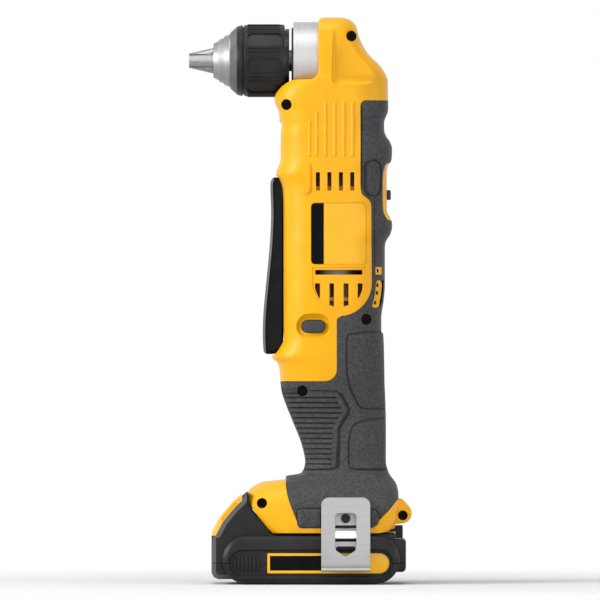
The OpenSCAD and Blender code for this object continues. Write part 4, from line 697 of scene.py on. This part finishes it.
# %% Tools that cut shell and rubber alike
def screw_tools():
    """Tapered holes over the sunk screw heads; the one on the rear ear is narrower."""
    tools = []
    for x, z in SCREWS:
        y, wide = (14, 2.85) if x > 30 else (side_y(x, z), 3.2)
        steps = ((5, 2.8), (y - 3.5, 2.8), (y - 0.2, wide), (FAR, wide))
        tools.append(loft([[(px, -d, pz) for px, pz in disc(x, z, r, 32)] for d, r in steps]))
    return join(tools)


def upright(r, z0, z1):
    """A round tool round the motor axis."""
    return loft([[(x, y, z) for x, y in circle(r, 64)] for z in (z0, z1)])


def level_bore(r, count, z, x0, x1):
    """A round tool that lies along the tool's length at a height."""
    return loft([[(x, across, z + up) for across, up in circle(r, count)] for x in (x0, x1)])


def foot_channel():
    """Rails for the battery pack, open to the front, the latch pocket and the notch behind."""
    box = box_tool(-70, 27, 30, 32.1, 42)
    for room in ((-70, 27, 25.5, 27, 34), (-70, -45, 14.6, 38, 48.7), (2, 24, 10, 38.5, 48.5),
                 (26, 40, 12.3, 27.5, 31.6)):
        weld(box, box_tool(*room))
    return box


def head_tools(piece):
    """Open front of the head with the round seat of the gear case collar."""
    carve(piece, slab(SHOULDER, -FAR, FAR))
    carve(piece, level_bore(22.1, 96, Z_AXIS, -90, -2))


def cut_openings(piece, side):
    """Battery rails, the trigger's room and, on the left, the screw holes."""
    carve(piece, foot_channel())
    carve(piece, slab(SWING, -PADDLE_ROOM, PADDLE_ROOM))
    if side < 0:
        carve(piece, screw_tools())


# %% [markdown]
# ## Yellow shell halves
# The shell is injection moulded in two halves that meet in the middle plane. Each half starts as a
# solid half body. Ribs and a pad are raised, the rubber's bed is cut away by 1.7 mm, the label
# field and the vent panel are pressed in, and at last the inside is hollowed out.


# %% Shell halves
WALL, BED = 3.6, 1.7
BAFFLES = ((40, 159.6, 161.6, 20), (16, 221.2, 224.4, 12))


def shell(side, name):
    """One shell half with all its openings."""
    piece = half_body(0, side, name)
    for x, z0, z1 in SIDE_RIBS:
        rings = []
        for half, height in RIB_STEPS:
            run = long_round(x - half, x + half, z0 + 1 - half, z1 - 1 + half)
            rings.append([(px, side * (side_y(px, pz) + height), pz) for px, pz in run])
        weld(piece, loft(rings))
    lift_twice(piece, [SIDE_PAD], 0.45, 0.9, 0.8, side)
    cover = slab(grow(COVER, 0.12), -FAR, FAR)
    carve(cover, slab(THUMB_WINDOW, -70, 70))
    carve(cover, slabs(REAR_WINDOWS, -70, 70))
    carve(piece, cover)
    weld(piece, half_body(BED, side))
    weld(piece, soft_edges(slab(EAR, side * SEAM, side * 14), 1.0))
    carve(piece, flared(HEAD_FACET, FACET_STEPS, side))
    sink(piece, [LABEL], 0.55, side)
    sink(piece, [GRILLE], 0.4, side)
    hollow = mould(WALL)
    carve(hollow, box_tool(-70, 70, FAR, 20, 44.5))
    for back, z0, z1, r in BAFFLES:
        carve(hollow, carve(box_tool(-40, back, 40, z0, z1), upright(r, z0 - 5, z1 + 5)))
    carve(piece, hollow)
    carve(piece, slabs(TOP_VENTS + [LONG_VENT] + LOW_VENTS, side * 22.6, side * FAR))
    carve(piece, slabs(PEEP_HOLES, side * 13, side * FAR))
    carve(piece, slab(FOOT_CORNER, -FAR, FAR))
    weld(piece, slab(FOOT_TAB, side * SEAM, side * 14))
    head_tools(piece)
    cut_openings(piece, side)
    dish = [[(x, side * (side_y(x, z) - depth), z) for x, z in button_outline(w, h)]
            for depth, w, h in DISH_STEPS]
    carve(piece, loft(dish))
    carve(piece, slab(button_outline(6.9, 3.75), side * 17, side * FAR))
    carve(piece, slab(button_outline(7.9, 4.6), side * 8, side * 19))
    carve(piece, box_tool(15, 45, 5.4, 216.3, 229.8))
    carve(piece, level_bore(3.3, 40, 264.3, -70, -20))
    dress(piece, yellow)
    return piece


for side, hand in SIDES:
    settle(shell(side, f"shell_{hand}"), "housing", f"{hand}_housing")

# %% [markdown]
# ## Rubber grip
# The grey rubber is a skin of 1.6 mm on the shell. The panels at the back stand a little proud,
# the finger panel in front is grooved all the way round, and a soft pad sits beside the thumb
# slide. Grooves are cut only as deep as a slightly smaller copy of the body lets them.

# %% Rubber outlines
REAR_PANELS = [
    soften([(6.7, 139), (8.2, 141), (40, 142.4), (40, 98.8), (15.6, 98.8), (13.2, 101), (6.8, 114.4)], 2),
    soften([(8.3, 86.4), (13.8, 92), (40, 94), (40, 64.4), (9.4, 64.4), (7.9, 66)], 2),
]
FINGER_PANEL = soften([(-60, 108.6), (0.2, 108.6), (2.8, 106.8), (6.9, 99), (6.9, 96.6), (1.6, 88),
                       (1.1, 66.4), (-0.9, 64.2), (-60, 64.2)], 2)
GROOVES = [[(-60, z - 0.55), (right, z - 0.55), (right + 0.55, z), (right, z + 0.55), (-60, z + 0.55)]
           for z, right in zip([67.2 + 2.9 * k for k in range(14)] + [107.2, 109.9],
                               (-2.2, -2.2, -2.2, -2.2, -2.1, -2, -1.8, -1.4, -0.4, 1.6, 3.4, 2.8, 1.6, 0.4,
                                -21, -21))]
THUMB_PAD = round_box(17.2, 25.5, 219.4, 238.7, 3.9, 10)
FOOT_PAD = (arc(19.7, 36.7, 5.4, 270, 450, 18) + arc(-19.2, 40.1, 2, 90, 180, 6)
            + arc(-19.2, 33.3, 2, 180, 270, 6))
PAD_STEPS = ((34, 0), (35.3, 0), (35.7, -0.15), (36.5, -1.1), (36.7, -1.7))
HOOK_BED = [(-8.6, 20), (20.6, 20), (20.6, 60), (-8.6, 60)]
VALLEY = [(1.2, 64.6), (2.7, 66), (3.1, 87.4), (8.4, 96.2), (8.4, 99.2), (4.2, 107.3), (2.2, 107.9),
          (2.7, 106.7), (6.8, 99), (6.8, 96.6), (1.5, 88), (1.0, 66.6)]
SEAM_LINE = [(14.6, 270), (14.6, 224), (15.4, 224), (15.4, 270)]
CREASE = [(22.1, 216), (22.1, 180), (22.5, 180), (22.5, 216)]


# %% Rubber halves
SKIN, PROUD = 1.6, 0.12


def grip(side, name):
    """One half of the rubber, with its panels, grooves and openings."""
    piece = half_body(-PROUD, side, name)
    carve(piece, slab(grow(COVER, -0.1), -FAR, FAR), "INTERSECT")
    lift_twice(piece, REAR_PANELS, 0.45, 0.8, 0.6, side)
    lift_twice(piece, [FINGER_PANEL], 0.45, 0.8, 0.6, side)
    lift_twice(piece, [THUMB_PAD], 1.0, 1.6, 0.9, side)
    weld(piece, carve(flared(FOOT_PAD, PAD_STEPS, side), slab(HOOK_BED, -70, 70)))
    trench(piece, REAR_PANELS + [FINGER_PANEL, THUMB_PAD], 0.8, 0.5, side)
    trench(piece, [FOOT_PAD], 0.7, 0.6, side)
    for outlines, depth in (([VALLEY], 0.9), (GROOVES, 0.4), ([SEAM_LINE], 0.8), ([CREASE], 0.35),
                            ([WINDOW_SHADE], 1.2)):
        sink(piece, outlines, depth, side)
    carve(piece, mould(SKIN))
    carve(piece, slab(grow(THUMB_WINDOW, 0.12), -70, 70))
    carve(piece, slabs([grow(window, 0.1) for window in REAR_WINDOWS], -70, 70))
    carve(piece, slab(grow(EAR, 0.15), -14.2, 14.2))
    cut_openings(piece, side)
    dress(piece, rubber)
    return piece


for side, hand in SIDES:
    settle(grip(side, f"grip_{hand}"), "housing", f"{hand}_grip")

# %% [markdown]
# ## Side labels
# The printed label of the real tool is left bare here: a thin plate with a dark band along its
# front edge, curved like the body it sits on. It is cut from two copies of the body form.


# %% Side labels
BAND_X = -6.3


def side_label(side, name):
    """A curved plate whose faces are parted at the edge of the dark band."""
    piece = slab(round_box(-13.4, 17.4, 180.4, 214.8, 2.2), side * 9, side * FAR, name)
    carve(piece, mould(0.12), "INTERSECT")
    carve(piece, mould(0.5))
    activate(piece)
    open_mesh()
    bpy.ops.mesh.bisect(plane_co=(BAND_X * MM, 0, 0), plane_no=(1, 0, 0))
    close_mesh()
    paint(piece, label_yellow, label_black, lambda face: face.center.x < BAND_X * MM)
    return piece


for side, hand in SIDES:
    settle(side_label(side, f"label_{hand}"), "housing", f"{hand}_label")

# %% [markdown]
# ## Trigger, direction button and selector
# The paddle trigger is one long moulded lever with generously round edges and a flank that is set
# back behind its front rim. The direction button goes right through the tool, so that it can be
# pushed from either side, and its ends follow the body. The selector is a small slide at the back.

# %% Trigger
FLANK = [(-34.6, 221), (-33.9, 209), (-34.7, 190.7), (-36.5, 172.5), (-38.3, 154.4), (-38.8, 143.1),
         (-38.4, 133.4), (-37.4, 131.8), (-33.4, 132), (-31.6, 133.6), (-29.9, 137), (-29.9, 213),
         (-30.8, 221)]


def on_rim(face):
    """The rounded edges along the front of the trigger."""
    return face.normal.x < -0.3 and abs(face.normal.y) > 0.2 and face.center.x < -33 * MM


paddle = soft_edges(slab(soften(TRIGGER, 2), -10.5, 10.5, "paddle_trigger"), 2.4, 5, 50)
for side, _ in SIDES:
    carve(paddle, slab(soften(FLANK, 1), side * 9.5, side * 14))
carve(paddle, slab(disc(*PIVOT, 1.56, 32), -20, 20))
# The front rim of the trigger gets the lighter grey, a painted highlight.
paint(paddle, satin_black, paddle_rim_highlight, on_rim)
settle(paddle, "trigger", "trigger", 40)

# %% Direction button
button = slab(button_outline(6.5, 3.4, 14), -40, 40, "reverse_button")
carve(button, mould(0.9), "INTERSECT")
soft_edges(button, 0.7, 3, 50)
weld(button, slab(button_outline(7.5, 4.25, 14), -16, 16))
weld(button, box_tool(BUTTON[0] - 3, BUTTON[0] + 3, 4, 140.9, 145))
dress(button, slide_grey)
settle(button, "direction", "direction_button", 40)

# %% Speed selector
low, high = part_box("speed_selector")
slide_x, slide_z, knob_x = low.x / MM, (low.z + high.z) / 2 / MM, high.x / MM
plate = round_box(slide_x, slide_x + 1.6, slide_z - 6.5, slide_z + 6.5, 0.3, 3)
selector = slab(plate, -8, 8, "selector_slide")
weld(selector, box_tool(slide_x + 1, knob_x - 1, 5, slide_z - 2.8, slide_z + 2.8))
knob = slab(round_box(knob_x - 1.8, knob_x, slide_z - 2.8, slide_z + 2.8, 0.85), -5.6, 5.6)
weld(selector, soft_edges(knob, 0.5, 3, 50))
dress(selector, slide_grey)
settle(selector, "selector", "speed_selector", 40)

# %% [markdown]
# ## Chuck sleeve
# The sleeve is turned, so its profile is spun round the chuck axis. Eight pockets for the fingers
# are cut into it, and three fine ribs stand on each land between them.


# %% Chuck sleeve
def round_axis(x, r, across, degrees):
    """A point near the chuck axis: along it, out from it and sideways."""
    a = math.radians(degrees)
    return (x, -r * math.sin(a) - across * math.cos(a), Z_AXIS + r * math.cos(a) - across * math.sin(a))


SLEEVE_PROFILE = [(-28.4, 17.4), (-28.4, 19.7), (-28.8, 20.2), (-29.4, 20.45), (-30.2, 20.5), (-50.9, 20.2),
                  (-51.3, 20.0), (-51.5, 19.4), (-52.1, 19.3), (-52.3, 19.9), (-52.8, 20.1), (-54.6, 19.7),
                  (-55.6, 19.2), (-59.0, 16.1), (-59.3, 15.7), (-59.3, 15.2), (-57.2, 15.2), (-54.7, 17.4)]
start()
bpy.ops.mesh.primitive_circle_add(vertices=len(SLEEVE_PROFILE), radius=1, fill_type="NOTHING",
                                  location=(0, 0, 0))
sleeve = bpy.context.object
sleeve.name = "chuck_grip_sleeve"
for v, (x, r) in zip(sleeve.data.vertices, SLEEVE_PROFILE):
    v.co = Vector(round_axis(x, r, 0, 0)) * MM
open_mesh()
bpy.ops.mesh.spin(steps=120, angle=math.tau, center=(0, 0, Z_AXIS * MM), axis=(1, 0, 0))
bpy.ops.mesh.select_all(action="SELECT")
bpy.ops.mesh.remove_doubles(threshold=1e-7)
bpy.ops.mesh.normals_make_consistent(inside=False)
close_mesh()
POCKET = round_box(-49.8, -29.9, -4.3, 4.3, 3.0, 8)
FINE_RIB = long_round(-49.6, -31.2, -0.42, 0.42, 5)
RIB_TAPER = ((19.0, 1.3), (20.6, 1.1), (20.85, 0.6))
pockets, ribs = [], []
for k in range(8):
    turn = 8.7 + 45 * k
    pockets.append(loft([[round_axis(x, r, w, turn) for x, w in POCKET] for r in (19.1, 24)]))
    for shift in (-6.2, 0, 6.2):
        ribs.append(loft([[round_axis(x, r, w * taper, turn + 22.5 + shift) for x, w in FINE_RIB]
                          for r, taper in RIB_TAPER]))
carve(sleeve, join(pockets))
weld(sleeve, join(ribs))


def on_nose(face):
    """The chamfer at the front of the sleeve, which takes a lighter grey."""
    off_axis = math.hypot(face.center.y, face.center.z - Z_AXIS * MM)
    return face.center.x < -55.7 * MM and off_axis > 15.8 * MM


paint(sleeve, chuck_black, rim_grey, on_nose)
settle(sleeve, "sleeve", "chuck_sleeve", 30)

# %% [markdown]
# ## Belt hook
# The hook is a strip of spring steel, bent into a hairpin with a jog where it lies on the foot. Its
# side profile is the centre line thickened by half the sheet to both sides. Two relief slots lie at
# the bends of the jog; the jog between them and the lower bend get a lighter steel as a painted highlight.

# %% Belt hook
SHEET = 1.4
HOOK_X0, HOOK_X1 = -7.8, 19.8
CORNER, CORNER_Z = 4.6, 44.2
centre = ([(-36.8, 46.8), (-36.8, 40), (-36.8, 33), (-36.95, 31.8), (-37.6, 29.6), (-38.25, 27.2),
           (-38.4, 26), (-38.4, 20)] + arc(-42.1, 11.3, 3.7, 0, -180, 16) + [(-45.8, 30), (-45.8, 48.8)])
inner, outer = [], []
for i, (y, z) in enumerate(centre):
    back, ahead = centre[max(i - 1, 0)], centre[min(i + 1, len(centre) - 1)]
    dy, dz = ahead[0] - back[0], ahead[1] - back[1]
    size = math.hypot(dy, dz)
    inner.append((y - SHEET / 2 * dz / size, z + SHEET / 2 * dy / size))
    outer.append((y + SHEET / 2 * dz / size, z - SHEET / 2 * dy / size))
hook = loft([[(x, y, z) for y, z in inner + outer[::-1]] for x in (HOOK_X0, HOOK_X1)], "belt_clip")
WINDOW = (arc(9.6, 37.6, 2.4, 0, 90, 6) + arc(2.4, 37.6, 2.4, 90, 180, 6) + arc(1.9, 20.3, 1.9, 180, 225, 3)
          + arc(6, 18.1, 2.4, 225, 315, 8) + arc(10.1, 20.3, 1.9, 315, 360, 3))
INNER_HOLES = [round_box(-0.6, 12.6, z0, z1, 0.3, 3) for z0, z1 in ((31.4, 32.9), (23.8, 25.3))]
INNER_HOLES += [round_box(0.5, 11.5, 13, 21, 1.2), disc(6, 36.9, 1.65, 24)]
for edge, way in ((HOOK_X0, 1), (HOOK_X1, -1)):
    middle, beyond = edge + way * CORNER, edge - way * 2
    corner = arc(middle, CORNER_Z, CORNER, 90 + way * 90, 90) + [(middle, 52), (beyond, 52), (beyond, CORNER_Z)]
    carve(hook, slab(corner, -50, -35))
carve(hook, slab(WINDOW, -50, -44))
for outline in INNER_HOLES:
    carve(hook, slab(outline, -43, -34))
soft_edges(hook, 0.22, 2, 40)


def on_painted_highlight(face):
    """The jog and the lower bend, painted lighter as a highlight."""
    on_jog = 25.4 < face.center.z / MM < 31.3 and face.center.y > -41 * MM
    on_bend = 7.5 < face.center.z / MM < 9.2 and face.center.y < -43 * MM
    return (on_jog or on_bend) and face.normal.y < -0.5


# The jog and the lower bend take the lighter steel, a painted highlight.
paint(hook, hook_steel, painted_highlight_steel, on_painted_highlight)
settle(hook, "housing", "belt_hook", 20)

# %% [markdown]
# ## Battery pack
# The slim pack is a stadium in side view, with a raised band round each side panel, a wedge in
# front that carries the release latch, and a block at the back. The solid is made whole and then
# parted at the seam into an upper and a lower case.

# %% Battery outlines
PACK = long_round(-63.7, 36.5, 0, 26.9, 28)
PANEL = long_round(-59.5, 32.5, 4.3, 18.7, 24)
FRONT_BLOCK = [(-69.8, 6.2), (-68.6, 3.6), (-66, 2.4), (-50, 2.4), (-50, 26.9), (-69.8, 26.9)]
REAR_BLOCK = [(30, 6.4), (38.6, 6.4), (40.1, 8), (40.1, 24.6), (30, 24.6)]
SLOPE = [(-69.9, 27.3), (-69, 30), (-65.6, 36.5), (-62.1, 41), (-58.2, 45.5), (-54.6, 48.9), (-53, 49.8)]
WEDGE_BACK = [Z_FOOT + d for d in (22, 18.5, 15.5, 12.5, 9.6, 6.8, 4, 1.2, 0.4)]
WEDGE = ([(x + 2.0, z - 2.2) for x, z in SLOPE[:-1]] + [(-52.4, 49.2), (-49.6, 51.4)]
         + [(along(FRONT_EDGE, z) - 0.7, z) for z in WEDGE_BACK] + [(-33, 26.9), (-33, 23.9), (-67.4, 23.9)])
LATCH_SLOT = [(x + 2.8, z - 6) for x, z in SLOPE] + [(-49.6, 60), (-85, 60), (-85, 20), (-67.1, 20)]
FRONT_RUN = [(-55, 2.4, 0, 1), (-66, 2.4, 0.25, 0.97), (-68.6, 3.6, 0.7, 0.7), (-69.8, 6.2, 0.97, 0.25),
             (-69.8, 16, 1, 0), (-69.8, 25.6, 1, 0), (-67.2, 27.5, 0.9, -0.43), (-63.6, 34.3, 0.84, -0.55),
             (-60.1, 38.8, 0.77, -0.63), (-56.2, 43.3, 0.74, -0.68), (-52.6, 46.7, 0.7, -0.72),
             (-51.2, 49.2, 0.7, -0.72)]
CHEEKS = []
for levels, near, far in (((29.2, 31, 33, 35.3, 38, 41, 43), 28.8, 31),
                          ((42.8, 44, 46, 48, 49.5, 50.8), 26.8, 29)):
    edge = [(along(FRONT_EDGE, z), z) for z in levels]
    CHEEKS.append(([(x + 0.4, z) for x, z in edge] + [(x - 0.9, z) for x, z in edge[::-1]], near, far))
BAND_STEPS = ((33.8, 0), (34.9, 0), (35.5, 0.25), (36.5, 1.9), (36.9, 2.7), (37, 3.2))
BAND_HOLE = ((30, 0), (36.1, 0), (36.7, 0.25), (37.1, 0.8))
SEAM_Z, SEAM_GAP = 11.5, 0.17


# %% Pack cases
def front_chamfer(piece):
    """Slant the side edges of the front with a tool that bites deeper towards the sides."""
    for side, _ in SIDES:
        rings = []
        for y, bite in ((28, -0.2), (31.4, 2.9)):
            run = [(x + nx * bite, z + nz * bite) for x, z, nx, nz in FRONT_RUN]
            rings.append([(x, side * y, z) for x, z in run + [(-48, 70), (-90, 70), (-90, -10), (-55, -10)]])
        carve(piece, loft(rings))
    return piece


def raised_band(side):
    """The band round a side panel, with a broad chamfer outside and a small one towards the panel."""
    band = loft([[(x, side * y, z) for x, z in long_round(-63.7 + i, 36.5 - i, i, 26.9 - i, 28)]
                 for y, i in BAND_STEPS])
    return carve(band, flared(PANEL, BAND_HOLE, side))


def pack_solid():
    """The whole pack, hollow, with its rails on top."""
    solid = soft_edges(slab(PACK, -34.6, 34.6, "pack_upper_case"), 1.0, 3, 50)
    front = soft_edges(slab(FRONT_BLOCK, -31, 31), 0.5, 2, 30)
    weld(front, slab(WEDGE, -31, 31))
    for side, _ in SIDES:
        for outline, near, far in CHEEKS:
            weld(front, slab(outline, side * near, side * far))
    weld(solid, front_chamfer(front))
    weld(solid, soft_edges(slab(REAR_BLOCK, -29, 29), 1.3, 3, 30))
    for side, _ in SIDES:
        weld(solid, raised_band(side))
    weld(solid, soft_edges(box_tool(-33, 34.05, 27, 20, 28.2), 0.6, 2, 50))
    weld(solid, box_tool(-44, 12, 25, 25.9, 33))
    weld(solid, box_tool(-44, 12, 29.5, 32.6, 41.5))
    return carve(solid, slab(long_round(-61.7, 34.5, 2, 24.9, 20), -34, 34))


def on_bezel(face):
    """The slanted edges in front of the pack."""
    slanted = 0.3 < abs(face.normal.y) < 0.92 and 27.9 * MM < abs(face.center.y) < 31.1 * MM
    return slanted and face.center.x < -50 * MM


upper = pack_solid()
lower = copy_of(upper)
lower.name = "pack_lower_case"
carve(upper, box_tool(-90, 60, 60, -10, SEAM_Z + SEAM_GAP))
carve(lower, box_tool(-90, 60, 60, SEAM_Z - SEAM_GAP, 70))
for side, _ in SIDES:
    tongue = slab([(-61, 10), (33.8, 10), (33.8, 11.2), (-61, 11.2)], side * 33.55, side * 34.3)
    weld(tongue, slab([(-61, 10.4), (33.8, 10.4), (33.8, 13), (-61, 13)], side * 33.55, side * 33.97))
    weld(lower, tongue)
carve(upper, slab(LATCH_SLOT, -14.4, 14.4))
carve(upper, box_tool(-60, -46.4, 14.4, 36.5, 60))
carve(upper, join([slab([(6, 33.1), (16, 33.1), (16, 45), (6, 45)], y - 0.9, y + 0.9)
                   for y in range(-12, 13, 6)]))
SCREW_STEPS = ((-1, 2.35), (9, 2.35), (9.01, 1.7), (19.5, 1.7))
for case, node in ((upper, "battery_upper_case"), (lower, "battery_lower_case")):
    for x, y in ((-65.6, -24), (-65.6, 24), (37.3, -22), (37.3, 22)):
        carve(case, loft([[(x + px, y + py, z) for px, py in circle(r, 24)] for z, r in SCREW_STEPS]))
    # The slanted front edges get the glossier grey, made lighter as a painted highlight.
    paint(case, pack_black, pack_bezel_highlight, on_bezel)
    settle(case, "battery", node)

# %% [markdown]
# ## Latch, finger ribs and pack labels
# The release latch is a sloping yellow shield whose flanks fall away to the sides. The finger ribs
# on the side panel are small round bars, and the label is a bare two-colour plate.

# %% Latch
LATCH_LINE = even(SLOPE, 25)
LATCH_FALL = ((14, 3.0), (13.4, 2.6), (11, 1.7), (8, 0.8), (5, 0.2))


def sunk(points, drop):
    """A line of the slope, moved square into it."""
    return [(x + 0.72 * drop, z - 0.69 * drop) for x, z in points]


def latch_ring(y, drop):
    """Side view of the latch at one place across it, lowered towards its flanks."""
    foot = [(x + 2.2, z - 2.6) for x, z in LATCH_LINE[::-1]]
    return [(x, y, z) for x, z in sunk(LATCH_LINE, drop) + foot]


falls = [(-y, drop) for y, drop in LATCH_FALL] + [(0, 0), *LATCH_FALL[::-1]]
latch = loft([latch_ring(y, drop) for y, drop in falls], "release_latch")
weld(latch, box_tool(-55, -46.6, 12, 43.7, 47.3))
thumb = even(SLOPE, 41)[15:34]
for side, _ in SIDES:
    carve(latch, slab(sunk(thumb, 0.9) + sunk(thumb, 2.7)[::-1], side * 8.4, side * 20))
dress(latch, yellow)
settle(latch, "latch", "battery_latch", 50)

# %% Finger ribs and pack labels
PANEL_Y = 34.62
bars = []
for side, _ in SIDES:
    for k in range(7):
        x, reach = -56.7 + 2.16 * k, 2.5 if k == 0 else 4.6
        bar = long_round(x - 0.55, x + 0.55, SEAM_Z - reach, SEAM_Z + reach, 6)
        bars.append(soft_edges(slab(bar, side * PANEL_Y, side * 35.8), 0.35, 3, 50))
finger_ribs = join(bars)
finger_ribs.name = "pack_finger_ribs"
dress(finger_ribs, pack_black)
settle(finger_ribs, "battery", "battery_finger_ribs", 40)

PLATE = (arc(24.9, 11.5, 5.7, 270, 450, 20) + arc(-37.6, 16.6, 0.6, 90, 180, 3)
         + arc(-37.6, 6.4, 0.6, 180, 270, 3))
INSET = [(-36.8, 7.4), (4, 7.4), (4, 15.7), (-36.8, 15.7)]
for side, hand in SIDES:
    plate = soft_edges(slab(PLATE, side * PANEL_Y, side * 35.1, f"pack_label_{hand}"), 0.15, 2, 50)
    field = soft_edges(slab(INSET, side * 35.0, side * 35.2), 0.05, 1, 50)
    dress(plate, label_yellow, label_black)
    paint(field, label_yellow, label_black, lambda face: True)
    plate = join([plate, field])
    settle(plate, "battery", f"battery_label_{hand}", 40)

# %% [markdown]
# ## The end of the lesson
# The body moulds were only tools, so they go.

# %% Clean up and finish
for tool in moulds.values():
    bpy.data.objects.remove(tool)
